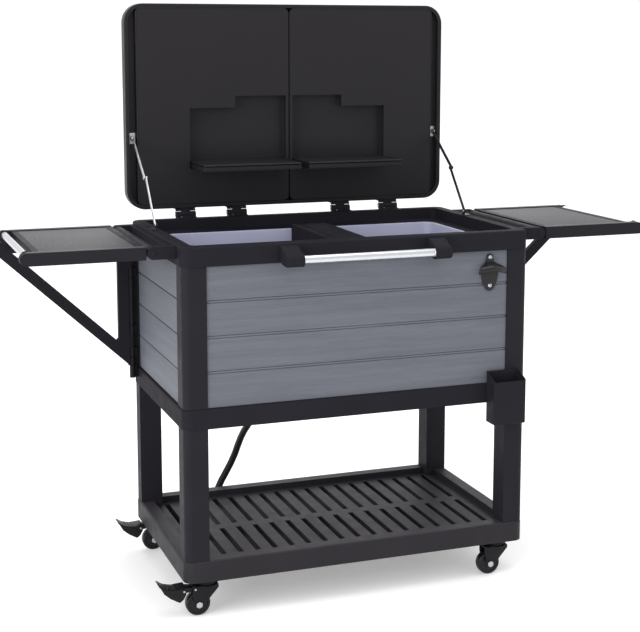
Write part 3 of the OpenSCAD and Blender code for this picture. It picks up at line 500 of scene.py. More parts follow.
def surface(slot, group, values, bump=0.1, depth=0.0003, metallic=0.0, coat=0.0, specular=0.5):
    """Material whose colour, roughness and relief come from one of the groups."""
    material = bpy.data.materials.new("Finish " + slot)
    material.use_nodes = True
    tree = material.node_tree
    tree.nodes.clear()
    detail = node(tree, "ShaderNodeGroup", values, node_tree=bpy.data.node_groups[group]).outputs
    relief = node(
        tree, "ShaderNodeBump",
        {"Height": detail["Height"], "Normal": detail["Normal"], "Strength": bump, "Distance": depth},
    )
    shader = node(
        tree, "ShaderNodeBsdfPrincipled",
        {
            "Base Color": detail["Color"], "Roughness": detail["Roughness"],
            "Normal": relief.outputs["Normal"], "Metallic": metallic, "Coat Weight": coat,
            "Coat Roughness": 0.2, "Specular IOR Level": specular,
        },
    )
    end = node(tree, "ShaderNodeOutputMaterial")
    tree.links.new(shader.outputs["BSDF"], end.inputs["Surface"])


def paint_top_light(slot, gain):
    """Paints light on the faces that look up: they are made paler, as if lit from above."""
    tree = finish_for(slot).node_tree
    normal = node(tree, "ShaderNodeNewGeometry").outputs["Normal"]
    up = node(tree, "ShaderNodeSeparateXYZ", {"Vector": normal}).outputs["Z"]
    value = spread(tree, up, 1.0, gain, 0.5, 0.95)
    paler = shade(tree, tree.nodes["Group"].outputs["Color"], value)
    tree.links.new(paler, tree.nodes["Principled BSDF"].inputs["Base Color"])


def finish_for(slot):
    """Material of a slot, or a second finish of it."""
    return bpy.data.materials["Finish " + slot]


def refinish(obj, name):
    """Gives a piece another finish than its slot's."""
    obj.data.materials.clear()
    obj.data.materials.append(finish_for(name))


def make_finishes(colours):
    """One material for each slot of the record, and second finishes for some pieces."""
    make_edge_group()
    make_mould_group()
    make_board_group()
    make_metal_group()
    make_pebble_group()

    def mould(
        slot, base, rough, grain=0.3, size=900.0, wear=0.2, cloud=0.2, coat=0.0,
        radius=0.0015, specular=0.16,
    ):
        values = {
            "Base": base, "Roughness": rough, "Grain": grain, "Grain Size": size,
            "Edge Wear": wear, "Clouding": cloud, "Edge Radius": radius,
        }
        surface(slot, "Moulded surface", values, bump=0.25, coat=coat, specular=specular)

    black = tuple(colours.frame)
    mould("frame_black", black, 0.6, grain=0.35, size=1100.0, wear=0.04, radius=0.0022, specular=0.03)
    mould("frame_metal", black, 0.5, grain=0.5, size=700.0, wear=0.12, radius=0.0012, specular=0.06)
    mould("frame_metal caster", hex_colour("121115"), 0.4, size=700.0, radius=0.0012)
    mould("lid_black", tuple(colours.lid), 0.42, grain=0.4, size=1200.0, wear=0.12, cloud=0.07, radius=0.0025)
    mould("slat_grey", tuple(colours.slats), 0.55, grain=0.5, size=650.0, wear=0.3, radius=0.0018)
    # Painted light: the slats' up-facing tops are painted paler, as if lit from above
    paint_top_light("slat_grey", 2.3)
    mould("tub_grey", tuple(colours.tub), 0.4, grain=0.2, size=600.0, wear=0.12, cloud=0.12, radius=0.004)
    mould("cast_black", hex_colour("19181b"), 0.34, grain=0.8, size=420.0, wear=0.3, coat=0.25)
    mould("bin_black", black, 0.45, grain=0.4, size=800.0, radius=0.002, specular=0.04)
    mould("wheel_black", hex_colour("111013"), 0.36, size=500.0, wear=0.1, coat=0.15)
    mould("hose_black", hex_colour("1c1b1d"), 0.38, size=700.0, wear=0.0)
    mould("stay_black", black, 0.35, grain=0.2, radius=0.0005)
    mould("foam", hex_colour("d9d2bd"), 0.9, grain=1.0, size=220.0, wear=0.0)
    for slot, stretch in (("plank_slate", (2.2, 60.0, 60.0)), ("plank_slate side", (60.0, 2.2, 60.0))):
        grain = {"Base": tuple(colours.boards), "Stretch": stretch, "Shade": 0.6}
        surface(slot, "Board grain", grain, bump=0.55, depth=0.0008, specular=0.3)
    surface("table_grey", "Pebbled sheet", {"Base": tuple(colours.table)}, bump=0.4, specular=0.25)
    polished = {
        "Base": hex_colour("c9cbcf"), "Stretch": (3.0, 900.0, 900.0), "Roughness": 0.2, "Dulling": 0.15,
    }
    surface("steel", "Drawn metal", polished, bump=0.015, metallic=1.0)
    plated = {
        "Base": hex_colour("b4b6ba"), "Stretch": (350.0, 350.0, 350.0), "Roughness": 0.3, "Dulling": 0.4,
    }
    surface("zinc", "Drawn metal", plated, bump=0.08, metallic=1.0)


def dress_solids():
    """Gives each carried-over node the material of its slot in the record."""
    slots = {row["node"]: row["material_slot"] for row in frame["record"]["subparts"]}
    for name, obj in frame["nodes"].items():
        refinish(obj, "stay_black" if name == "rim_stay_anchors" else slots[name])


# Settings


def colour_setting(name, text, words):
    """Colour property with a screen colour as its default."""
    return bpy.props.FloatVectorProperty(
        name=name, description=words, subtype="COLOR", size=4, min=0.0, max=1.0, default=hex_colour(text)
    )


class CartColours(bpy.types.PropertyGroup):
    """Colours of the cart's main parts"""

    frame: colour_setting("Frame", "201f24", "Colour of rim, posts and rails")
    lid: colour_setting("Lid", "1f1d20", "Colour of the lid and its lining")
    boards: colour_setting("Boards", "5b5e67", "Colour of the plank walls")
    tub: colour_setting("Tub", "a2a5ba", "Colour of the tub liner")
    table: colour_setting("Tables", "4b4a4d", "Colour of the side tables' tops")
    slats: colour_setting("Slats", "222024", "Colour of the slatted shelf")


class CartSizes(bpy.types.PropertyGroup):
    """Sizes of the small forms"""

    board_edge: bpy.props.FloatProperty(
        name="Board edge", description="Rounding of a board's long edges, in millimetres",
        default=1.3, min=0.5, max=4.0,
    )


# Stage


class CART_OT_stage(bpy.types.Operator):
    """Floor, soft studio light and the camera"""

    bl_idname = "cart.stage"
    bl_label = "Stage and camera"

    # Name, place, size and power of each lamp
    LAMPS = (
        ("Key", (-3.4, -1.7, 1.5), 2.4, 80.0),
        ("Fill", (3.4, -1.6, 2.4), 2.6, 8.0),
        ("Top", (0.0, -0.4, 4.2), 3.0, 70.0),
        ("Back", (1.2, 3.6, 2.6), 2.5, 20.0),
    )
    AIM = (0.0, 0.0, 0.6)
    # The camera: lens in millimetres, upward shift, place from the cart's front, and turns in degrees
    LENS, SHIFT = 78.6, -0.12
    EYE = (-1.0259, -2.5739, 1.1477)
    TILT, HEADING = 81.83, -19.93

    def execute(self, context):
        self.camera(context.scene)
        self.floor(context.scene)
        self.lights(context.scene)
        context.scene.view_settings.view_transform = "Standard"
        return {"FINISHED"}

    def camera(self, scene):
        """Camera in front of the cart and a little to its left."""
        lens = bpy.data.cameras.new("Camera")
        lens.lens = self.LENS
        lens.sensor_width = 36.0
        lens.shift_y = self.SHIFT
        lens.clip_end = 90.0
        camera = bpy.data.objects.new("Camera", lens)
        x, y, z = self.EYE
        camera.location = (x, FRONT + y, z)
        camera.rotation_euler = (math.radians(self.TILT), 0.0, math.radians(self.HEADING))
        scene.collection.objects.link(camera)
        scene.camera = camera

    def floor(self, scene):
        """Pale floor that fades into the surroundings."""
        bm = bmesh.new()
        bmesh.ops.create_grid(bm, x_segments=1, y_segments=1, size=30.0)
        mesh = bpy.data.meshes.new("Floor")
        bm.to_mesh(mesh)
        bm.free()
        floor = bpy.data.objects.new("Floor", mesh)
        scene.collection.objects.link(floor)
        pale = bpy.data.materials.new("Pale floor")
        pale.use_nodes = True
        shader = pale.node_tree.nodes["Principled BSDF"]
        shader.inputs["Base Color"].default_value = (0.85, 0.85, 0.85, 1)
        shader.inputs["Emission Color"].default_value = (1.0, 0.985, 1.0, 1)
        shader.inputs["Emission Strength"].default_value = 0.26
        shader.inputs["Roughness"].default_value = 0.7
        mesh.materials.append(pale)

    def lights(self, scene):
        """White surroundings and the lamps, which all look at the cart."""
        world = bpy.data.worlds.new("Studio")
        world.use_nodes = True
        background = world.node_tree.nodes["Background"]
        background.inputs["Color"].default_value = (1.0, 1.0, 1.0, 1)
        background.inputs["Strength"].default_value = 1.06
        scene.world = world
        for name, place, size, power in self.LAMPS:
            lamp = bpy.data.lights.new(name, "AREA")
            lamp.size = size
            lamp.energy = power
            obj = bpy.data.objects.new(name, lamp)
            obj.location = place
            obj.rotation_euler = (Vector(self.AIM) - Vector(place)).to_track_quat("-Z", "Y").to_euler()
            scene.collection.objects.link(obj)


# Pieces


class CART_OT_hose(bpy.types.Operator):
    """Drain hose, from under the cooler down behind the shelf"""

    bl_idname = "cart.hose"
    bl_label = "Drain hose"

    # Points along the hose in millimetres, from the body's middle, its front and the floor
    ROUTE = (
        (-100, 340, 400), (-100, 340, 384), (-100, 343, 366), (-102, 350, 347), (-105, 361, 328),
        (-109, 375, 309), (-114, 391, 291), (-119, 408, 273), (-124, 425, 254), (-128, 440, 234),
        (-132, 451, 213), (-137, 459, 191), (-145, 464, 169), (-156, 467, 147), (-168, 469, 125),
        (-178, 470, 103), (-185, 471, 80), (-189, 471, 57), (-190, 471, 40),
    )
    RADIUS = 8.0

    def execute(self, context):
        points = [Vector((x * MM, FRONT + y * MM, z * MM)) for x, y, z in self.ROUTE]
        curve = bpy.data.curves.new("drain_hose_tube", "CURVE")
        curve.dimensions = "3D"
        curve.bevel_depth = self.RADIUS * MM
        curve.bevel_resolution = 6
        curve.use_fill_caps = True
        line = curve.splines.new("POLY")
        line.points.add(len(points) - 1)
        for spot, point in zip(line.points, points):
            spot.co = (*point, 1.0)
        line.use_smooth = True
        hose = bpy.data.objects.new("drain_hose_tube", curve)
        context.scene.collection.objects.link(hose)
        curve.materials.append(finish_for("hose_black"))
        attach(hose, "cart")
        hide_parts("drain_hose")
        return {"FINISHED"}


class CART_OT_boards(bpy.types.Operator):
    """Plank walls: single boards with rounded edges on all four sides"""

    bl_idname = "cart.boards"
    bl_label = "Plank walls"

    # Wall, the axis along its boards, the axis out of it and the way out
    WALLS = (("front", 0, 1, -1), ("rear", 0, 1, 1), ("left", 1, 0, -1), ("right", 1, 0, 1))
    COUNT = 4
    # In millimetres: joints of the long and the side walls, how far the backing board lies in, and
    # the gap beside a bead, its depth below the boards' faces and its distance from their backs
    LONG_GAP, SIDE_GAP, BACKING = 5.6, 1.8, 2.6
    BEAD_GAP, BEAD_DEPTH, BEAD_BACK = 0.8, 0.5, 1.0

    def execute(self, context):
        edge = context.scene.cart_sizes.board_edge
        for name, along, out, way in self.WALLS:
            node_name = name + "_planks"
            is_long = along == 0
            half = (self.LONG_GAP if is_long else self.SIDE_GAP) / 2 * MM
            low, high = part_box(node_name)
            bm = bmesh.new()
            pitch = (high.z - low.z) / self.COUNT
            for i in range(self.COUNT):
                a, b = low.copy(), high.copy()
                a.z = low.z + i * pitch + (half if i else 0)
                b.z = low.z + (i + 1) * pitch - (half if i < self.COUNT - 1 else 0)
                made = add_block(bm, a, b)
                long_edges = [
                    e for e in {e for v in made for e in v.link_edges}
                    if abs((e.verts[0].co - e.verts[1].co)[along]) > 100 * MM
                ]
                bevel_edges(bm, long_edges, edge, 3)
            # A rounded bead lies in each joint of the long walls, and a backing board closes all joints
            for i in range(1, self.COUNT) if is_long else ():
                a, b = low.copy(), high.copy()
                a.z, b.z = (low.z + i * pitch + s * (half - self.BEAD_GAP * MM) for s in (-1, 1))
                a[out] += (self.BEAD_DEPTH if way < 0 else self.BEAD_BACK) * MM
                b[out] -= (self.BEAD_DEPTH if way > 0 else self.BEAD_BACK) * MM
                add_block(bm, a, b, 1.0)
            inner_low, inner_high = low.copy(), high.copy()
            inner_low[out] += self.BACKING * MM
            inner_high[out] -= self.BACKING * MM
            add_block(bm, inner_low, inner_high)
            wall = piece(name + "_boards", bm, "cart", "plank_slate", (node_name,))
            if not is_long:
                refinish(wall, "plank_slate side")
        return {"FINISHED"}


class CART_OT_shelf(bpy.types.Operator):
    """Shelf: an edge turned down round each slot"""

    bl_idname = "cart.shelf"
    bl_label = "Shelf slots"

    # The tray's own sizes, in millimetres
    RIM, DROP, PITCH, SLOT, BAR, END, SPARE = 30, 14, 37, 12, 26, 14, 20
    # The turned edge: above the tray's foot, below its floor, into the slot and into the slat
    LIFT, SINK, INTO_SLOT, INTO_SLAT = 4, 0.8, 0.3, 1.4

    def execute(self, context):
        low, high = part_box("slat_shelf")
        size = (high - low) / MM
        mid = (low + high) / 2
        length = (size.y - 2 * self.RIM - self.BAR) / 2 - self.END
        count = int((size.x - 2 * self.RIM - self.SPARE) // self.PITCH)
        foot, top = low.z + self.LIFT * MM, high.z - (self.DROP + self.SINK) * MM
        inner, outer = (self.SLOT / 2 - self.INTO_SLOT) * MM, (self.SLOT / 2 + self.INTO_SLAT) * MM
        bm = bmesh.new()
        for i in range(count):
            x = mid.x + (i - (count - 1) / 2) * self.PITCH * MM
            for row in (-1, 1):
                y = mid.y + row * (self.BAR + length) / 2 * MM
                y0, y1 = y - length / 2 * MM, y + length / 2 * MM
                add_block(bm, (x - outer, y0, foot), (x - inner, y1, top))
                add_block(bm, (x + inner, y0, foot), (x + outer, y1, top))
        piece("slot_edges", bm, "cart", "slat_grey")
        return {"FINISHED"}


class CART_OT_opener(bpy.types.Operator):
    """Cast bottle opener: a teardrop plate with a flared hood, and its two screws"""

    bl_idname = "cart.opener"
    bl_label = "Bottle opener"

    # Right half of the plate, down from its top
    HALF_PLATE = (
        (0, 0), (5, -1), (7.6, -4.6), (8, -9), (8.6, -15), (12, -21), (18, -26), (20.5, -31),
        (19.5, -41), (18.6, -50), (17, -58), (13.6, -67), (9.4, -74), (5, -78), (0, -79),
    )
    PLATE_T, HOOD_T = 4.2, 3.0
    # From the ends of the screws' box to their middles, and from the wall to their heads
    SCREW_EDGE, SCREW_OUT = 4.25, 4.0

    def execute(self, context):
        low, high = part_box("bottle_opener")
        mid_x, wall = (low.x + high.x) / 2, high.y
        top = high.z
        bm = bmesh.new()
        outline = list(self.HALF_PLATE) + [(-x, y) for x, y in reversed(self.HALF_PLATE[1:-1])]
        at_wall = plane((mid_x, wall, top), (1, 0, 0), (0, 0, 1))
        add_outline(bm, metres(reversed(outline)), self.PLATE_T * MM, at_wall, bevel=1.3, segments=3)
        piece("opener_plate", bm, "cart", "cast_black", ("bottle_opener",), subdivide=1)

        # The hood springs from the neck, flares out sideways and curls down at its lip. Across it u
        # runs from -1 to 1 and down it v from 0 to 1; flare, out and drop are in millimetres
        bm = bmesh.new()
        grid = bmesh.ops.create_grid(bm, x_segments=16, y_segments=10, size=1.0)["verts"]
        for vert in grid:
            u, v = vert.co.x, (1 - vert.co.y) / 2
            flare = 7.5 + 24.5 * min(1.0, v * 1.5) ** 0.8
            out = 3.0 + 22.5 * math.sin(min(1.0, v * 1.12) * math.pi / 2) * (1 - 0.42 * abs(u) ** 2.4)
            drop = 17 + 13.5 * v + 15.5 * max(0.0, v - 0.55) ** 1.4
            drop += 4.5 * v * abs(u) ** 2 - 3.0 * v * (1 - abs(u)) ** 2
            vert.co = Vector((mid_x + u * flare * MM, wall - out * MM, top - drop * MM))
        bmesh.ops.solidify(bm, geom=bm.faces[:], thickness=self.HOOD_T * MM)
        piece("opener_hood", bm, "cart", "cast_black", subdivide=1, smooth=60)

        bm = bmesh.new()
        screw_low, screw_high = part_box("opener_screws")
        for z in (screw_high.z - self.SCREW_EDGE * MM, screw_low.z + self.SCREW_EDGE * MM):
            add_screw(bm, (mid_x, wall - self.SCREW_OUT * MM, z), (0, -1, 0), radius=4.6, height=2.4)
        piece("opener_screw_heads", bm, "cart", "zinc", ("opener_screws",))
        return {"FINISHED"}


class CART_OT_casters(bpy.types.Operator):
    """Four casters: wheels, forks with rivets, axle bolts and the two brake pedals"""

    bl_idname = "cart.casters"
    bl_label = "Casters"

    # Outlines of a fork or a pedal are drawn from the swivel's axis, with the fork's top at this height
    DRAWN_TOP = 64
    TRAIL = 20
    # Half of a wheel's profile: radius and distance from its middle
    WHEEL = (
        (4.2, 10), (9, 10), (9.8, 9.0), (15.5, 8.0), (18, 8.2), (19, 9.6), (21.5, 9.8), (24, 8.4), (25, 6),
    )
    CROWN = ((-33, -14), (21, -14), (21, 14), (-33, 14))
    CROWN_T, CHEEK_T, CHEEK_IN = 3, 2.5, 11.5
    BOLT_R, HEAD_R, HEAD_T, OVERLAP = 4, 7, 4.2, 1.2
    RACE = ((5.1, -3.4), (20, -3.4), (22, -1.6), (22, -0.2), (18, -0.1), (5.1, -0.1))
    PEDAL_TOP = (
        (-46, 64.5), (-72, 62.5), (-88, 66.5), (-101, 75), (-102, 72.6), (-89, 61.2), (-72, 57.6), (-46, 59),
    )
    PEDAL_SIDE = (
        (-46, 63), (-72, 61), (-88, 65), (-100, 73), (-92, 57), (-78, 45), (-60, 35), (-53, 40), (-47, 50),
    )
    PEDAL_ARM = (
        (-23, 57), (-24, 59.8), (-27, 60.4), (-52, 63.5), (-52, 51), (-44, 51.5), (-27, 53.6), (-24, 54.4),
    )
    PEDAL_W, PEDAL_CHEEK_T, ARM_W = 36, 2.6, 21.6
    # Where the pedal's cheeks start, and the middles of the ribs on its pad
    PEDAL_CHEEKS = (17.2, 6.2, -3.6, -14.6)
    GRIP_RIBS = ((-90, 67.3), (-83, 65.1), (-76, 63.5), (-69, 62.7))
    RIB_HALF, RIB_R = 15, 1.3
    # The rivet near the fork holds the pedal, the other its spring: name, body, place and face
    RIVETS = (("fork_rivets_", "caster_", -27, 14.0), ("pedal_rivets_", "brake_", -51, 17.2))
    RIVET_DOWN = 7

    def execute(self, context):
        for end in ("fl", "fr", "rl", "rr"):
            low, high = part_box("caster_wheel_" + end)
            hub = (low + high) / 2
            half = metres(self.WHEEL)
            bm = bmesh.new()
            add_turned(bm, half + [(r, -a) for r, a in reversed(half)], hub, (0, 1, 0), steps=56)
            piece("wheel_tyre_" + end, bm, "wheel_" + end, "wheel_black", ("caster_wheel_" + end,), smooth=40)

            swivel = Vector((hub.x + self.TRAIL * MM, hub.y, 0.0))
            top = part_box("caster_fork_" + end)[1].z
            self.fork(end, swivel, top)
            self.axle(end, hub)
            if end.endswith("l"):
                self.pedal(end, swivel, top)
        return {"FINISHED"}

    def side_plane(self, swivel, y, top):
        """Upright drawing plane of the forks and pedals."""
        return plane((swivel.x, y, top - self.DRAWN_TOP * MM), (1, 0, 0), (0, 0, 1))

    def fork(self, end, swivel, top):
        """Fork of folded sheet: two cheeks, the crown and the race on it."""
        inner, cheek_t = self.CHEEK_IN * MM, self.CHEEK_T * MM
        bm = bmesh.new()
        # A cheek is straight at the crown and round about the axle
        cheek = [(21, 64), (21, 57)] + arc(-20, 25, 9.2, -38, -182, 8) + [(-33, 51), (-33, 64)]
        cheek = rounded(cheek, [2, 3] + [0] * 9 + [3, 2], 3)
        for side in (-1, 1):
            start = swivel.y + (inner + cheek_t if side > 0 else -inner)
            add_outline(bm, metres(cheek), cheek_t, self.side_plane(swivel, start, top), bevel=0.7)
        crown_plane = plane((swivel.x, swivel.y, top - self.CROWN_T * MM), (1, 0, 0), (0, 1, 0))
        add_outline(bm, metres(rounded(self.CROWN, 5)), self.CROWN_T * MM, crown_plane, bevel=0.8)
        add_turned(bm, metres(self.RACE), (swivel.x, swivel.y, top), (0, 0, 1), steps=40)
        fork = piece("fork_body_" + end, bm, "caster_" + end, "frame_metal", ("caster_fork_" + end,))
        refinish(fork, "frame_metal caster")

    def axle(self, end, hub):
        """Axle bolt with a six-sided head at each end."""
        head, overlap = self.HEAD_T * MM, self.OVERLAP * MM
        bm = bmesh.new()
        near, far = (corner.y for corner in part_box("caster_axle_" + end))
        start, stop = near + head - overlap, far - head + overlap
        add_rod(bm, (hub.x, start, hub.z), (hub.x, stop, hub.z), self.BOLT_R * MM)
        for face, inner in ((near, near + head), (far, far - head)):
            ends = (hub.x, face, hub.z), (hub.x, inner, hub.z)
            add_rod(bm, *ends, self.HEAD_R * MM, segments=6, bevel=0.8)
        piece("axle_bolt_" + end, bm, "caster_" + end, "zinc", ("caster_axle_" + end,))

    def pedal(self, end, swivel, top):
        """Toe pedal: a curled pad with grip ribs on four cheeks, and its arm into the fork."""
        def across(y):
            return self.side_plane(swivel, swivel.y + y * MM, top)

        bm = bmesh.new()
        pad = rounded(metres(self.PEDAL_TOP), 1.2 * MM, 3)
        add_outline(bm, pad, self.PEDAL_W * MM, across(self.PEDAL_W / 2), bevel=0.8)
        cheek = rounded(metres(self.PEDAL_SIDE), 3 * MM, 3)
        for y in self.PEDAL_CHEEKS:
            add_outline(bm, cheek, self.PEDAL_CHEEK_T * MM, across(y), bevel=0.6)
        for x, z in self.GRIP_RIBS:
            rib_x, rib_z = swivel.x + x * MM, top + (z - self.DRAWN_TOP) * MM
            ends = [(rib_x, swivel.y + y * MM, rib_z) for y in (-self.RIB_HALF, self.RIB_HALF)]
            add_rod(bm, *ends, self.RIB_R * MM, 12)
        add_outline(bm, metres(self.PEDAL_ARM), self.ARM_W * MM, across(self.ARM_W / 2), bevel=0.8)
        pedal = piece("pedal_body_" + end, bm, "brake_" + end, "frame_metal", ("brake_pedal_" + end,))
        refinish(pedal, "frame_metal caster")
        for name, body, x, face in self.RIVETS:
            bm = bmesh.new()
            for side in (-1, 1):
                spot = (swivel.x + x * MM, swivel.y + side * face * MM, top - self.RIVET_DOWN * MM)
                add_screw(bm, spot, (0, side, 0), radius=2.4, height=1.2)
            piece(name + end, bm, body + end, "zinc")


class CART_OT_handle(bpy.types.Operator):
    """Front handle: two moulded brackets with a rounded nose, and the polished bar"""

    bl_idname = "cart.handle"
    bl_label = "Front handle"

    # In millimetres: a bracket's width, its wall round the bar, how far in its shadow line lies, and
    # the start, length and height of the bar's collars
    WIDTH, NOSE_WALL, SHADOW_IN = 36, 5, 1.4
    COLLAR_IN, COLLAR_L, COLLAR_H = 37.5, 1.6, 1.2
    SHADOW_LINE = ((-2, -1.2), (0.35, -1.2), (0.35, 1.2), (-2, 1.2))

    def execute(self, context):
        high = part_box("handle_brackets")[1]
        bar_low, bar_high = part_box("handle_bar")
        y, z = (bar_low.y + bar_high.y) / 2, (bar_low.z + bar_high.z) / 2
        radius = (bar_high.z - bar_low.z) / 2
        nose = radius / MM + self.NOSE_WALL
        back, rise = (FRONT - y) / MM, (RIM_TOP - z) / MM
        # The nose is round about the bar, and the arm runs from it back to the rim
        shape = arc(0, 0, nose, 118, 286, 12) + [
            (back * 0.45, -12.5), (back, -9), (back, rise - 5), (back * 0.55, rise - 7.5), (back * 0.1, 13.8),
        ]
        for name, side in SIDES:
            outer = side * high.x
            inner = outer - side * self.WIDTH * MM
            bm = bmesh.new()
            across = plane((max(inner, outer), y, z), (0, 1, 0), (0, 0, 1))
            add_outline(bm, metres(shape), -self.WIDTH * MM, across, bevel=2.0, segments=3)
            # Shadow line between the nose cap and the arm
            line = [(r + nose, a) for r, a in self.SHADOW_LINE]
            add_turned(bm, metres(line), (inner + side * self.SHADOW_IN * MM, y, z), (1, 0, 0), steps=40)
            stands_for = ("handle_brackets",) if name == "left" else ()
            piece("handle_end_" + name, bm, "cart", "frame_black", stands_for)
        bm = bmesh.new()
        add_rod(bm, (bar_low.x, y, z), (bar_high.x, y, z), radius, 48)
        for side in (-1, 1):
            start = side * (high.x - self.COLLAR_IN * MM)
            end = start + side * self.COLLAR_L * MM
            add_rod(bm, (start, y, z), (end, y, z), radius + self.COLLAR_H * MM, 48, bevel=0.5)
        piece("handle_tube", bm, "cart", "steel", ("handle_bar",), smooth=40)
        return {"FINISHED"}


class CART_OT_tables(bpy.types.Operator):
    """Side tables: sheet tops with grey strips on the rails, end grips with collars, pin caps"""

    bl_idname = "cart.tables"
    bl_label = "Side tables"

    # In millimetres: width of a rail, the sheet below the rails' top, the strips on the rails
    RAIL = 20
    SHEET_TOP, SHEET_FOOT, SHEET_GAP = 1.6, 5, 0.6
    STRIP_START, STRIP_END, STRIP_UP, STRIP_DOWN = 60.3, 12, 0.4, 1.5
    STRIP_OUTER, STRIP_INNER = 1.4, 1.2
    # Ribs under the sheet: half width, and top and foot below the rails' top
    RIB_HALF, RIB_TOP, RIB_FOOT = 6, 5.2, 16
    PIN_CAP = ((0, 1.6), (3.2, 1.5), (5.4, 0.9), (6.2, 0.1), (6.2, -0.4), (0, -0.4))
    COLLAR = ((0.2, 0), (2.4, 0), (2.4, 2), (1.2, 3.4), (0.2, 3.4))
    # Beads on the rail of the rim: out from the body's side, width, free ends, height and depth
    RAIL_BEADS, RAIL_BEAD_W, RAIL_BEAD_END = (1.2, 9.2, 16.4), 1.4, 20
    RAIL_BEAD_UP, RAIL_BEAD_DOWN = 0.5, 0.6
    # Free stretches of the bracket's hinge line, from its ends, where the barrel shows
    BARREL_R, BARREL_LOW, BARREL_MID = 5.9, (0.4, 17.2), 92.8
    # The web from a barrel to the bracket: half width, start and end, out from the hinge line
    WEB_HALF, WEB_START, WEB_END = 4, 4, 9
    # The hinge bar's foot: radius, gap to the bracket and to the body's side, and reach to the back
    FOOT_R, FOOT_GAP, FOOT_BACK = 6, 1, 10
    # The rod in the bracket's tip: from the corner, radius, width of the bracket and its stick-out
    TIP, TIP_ROD_R, TIP_W, TIP_OUT = 14, 2.9, 12, 0.6

    def execute(self, context):
        for name, side in SIDES:
            low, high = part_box("table_frame_" + name)
            self.sheet(name, side, low, high)
            self.grip(name, low, high)
            self.trim(name, side, low, high)
            bracket_low, bracket_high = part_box("bracket_" + name)
            self.barrels(name, side, bracket_low.z, bracket_high.z)
            self.eyelet(name, side, bracket_low, bracket_high)
        return {"FINISHED"}

    def sheet(self, name, side, low, high):
        """Sheet with a shallow rolled rim a little below the rails, its strips and the ribs under it."""
        sheet_low, sheet_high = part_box("table_top_" + name)
        body = name + "_table"
        top = high.z
        bm = bmesh.new()
        add_block(
            bm, (sheet_low.x, sheet_low.y + self.SHEET_GAP * MM, top - self.SHEET_FOOT * MM),
            (sheet_high.x, sheet_high.y - self.SHEET_GAP * MM, top - self.SHEET_TOP * MM), 1.2, 3,
        )
        outer = max(abs(low.x), abs(high.x)) - self.STRIP_END * MM
        a, b = sorted((side * (HALF_W + self.STRIP_START * MM), side * outer))
        start, end = self.STRIP_OUTER * MM, (self.RAIL - self.STRIP_INNER) * MM
        near_strip = (low.y + start, low.y + end)
        far_strip = (high.y - end, high.y - start)
        for y0, y1 in (near_strip, far_strip):
            add_block(bm, (a, y0, top - self.STRIP_DOWN * MM), (b, y1, top + self.STRIP_UP * MM), 0.5)
        piece("table_sheet_" + name, bm, body, "table_grey", ("table_top_" + name,))

        bm = bmesh.new()
        for k in (1, 2):
            y = low.y + k * (high.y - low.y) / 3
            corner = (sheet_high.x, y + self.RIB_HALF * MM, top - self.RIB_TOP * MM)
            add_block(bm, (sheet_low.x, y - self.RIB_HALF * MM, top - self.RIB_FOOT * MM), corner, 0.8)
        piece("table_ribs_" + name, bm, body, "frame_metal")

    def grip(self, name, low, high):
        """Polished tube at the table's end, and the collars it sits in."""
        body = name + "_table"
        grip_low, grip_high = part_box("table_grip_" + name)
        x, z = (grip_low.x + grip_high.x) / 2, (grip_low.z + grip_high.z) / 2
        radius = (grip_high.z - grip_low.z) / 2
        bm = bmesh.new()
        add_rod(bm, (x, grip_low.y, z), (x, grip_high.y, z), radius, 40)
        piece("table_grip_tube_" + name, bm, body, "steel", ("table_grip_" + name,), smooth=40)
        bm = bmesh.new()
        profile = [(radius + r, a) for r, a in metres(self.COLLAR)]
        for y, way in ((low.y + self.RAIL * MM, 1), (high.y - self.RAIL * MM, -1)):
            add_turned(bm, profile, (x, y, z), (0, way, 0), steps=40)
        piece("grip_collars_" + name, bm, body, "frame_metal", smooth=50)

    def trim(self, name, side, low, high):
        """Caps on the ends of the table's pins, and fine beads along the rail on the rim."""
        bm = bmesh.new()
        x, z = side * (HALF_W + TABLE_PIN_OUT), high.z - TABLE_PIN_DROP
        for y, way in ((low.y, -1), (high.y, 1)):
            add_cap(bm, self.PIN_CAP, (x, y, z), (0, way, 0), 28)
        mount_low, mount_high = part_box("table_mounts")
        near, far = mount_low.y + self.RAIL_BEAD_END * MM, mount_high.y - self.RAIL_BEAD_END * MM
        foot, top = mount_high.z - self.RAIL_BEAD_DOWN * MM, mount_high.z + self.RAIL_BEAD_UP * MM
        for start in self.RAIL_BEADS:
            a, b = sorted(side * (HALF_W + x * MM) for x in (start, start + self.RAIL_BEAD_W))
            add_block(bm, (a, near, foot), (b, far, top), 0.4)
        piece("rail_trim_" + name, bm, "cart", "frame_black")

    def barrels(self, name, side, low, high):
        """Round barrel down the bracket's hinge line, and the foot of the hinge bar below it."""
        x, y = side * (HALF_W + BRACKET_OUT), BRACKET_Y
        half = self.WEB_HALF * MM
        bm = bmesh.new()
        foot_part = [low + z * MM for z in self.BARREL_LOW]
        mid_part = [low + self.BARREL_MID * MM, high - self.BARREL_MID * MM]
        for z0, z1 in (foot_part, mid_part):
            add_rod(bm, (x, y, z0), (x, y, z1), self.BARREL_R * MM, 28)
            a, b = sorted((x + side * self.WEB_START * MM, x + side * self.WEB_END * MM))
            add_block(bm, (a, y - half, z0), (b, y + half, z1))
        piece("bracket_barrel_" + name, bm, name + "_bracket", "frame_metal")
        bm = bmesh.new()
        foot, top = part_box("bracket_hinges")[0].z, low - self.FOOT_GAP * MM
        add_rod(bm, (x, y, foot), (x, y, top), self.FOOT_R * MM, 28)
        a, b = sorted((side * (HALF_W + self.FOOT_GAP * MM), x))
        add_block(bm, (a, y, foot), (b, y + self.FOOT_BACK * MM, top), 0.6)
        piece("hinge_foot_" + name, bm, "cart", "frame_metal")

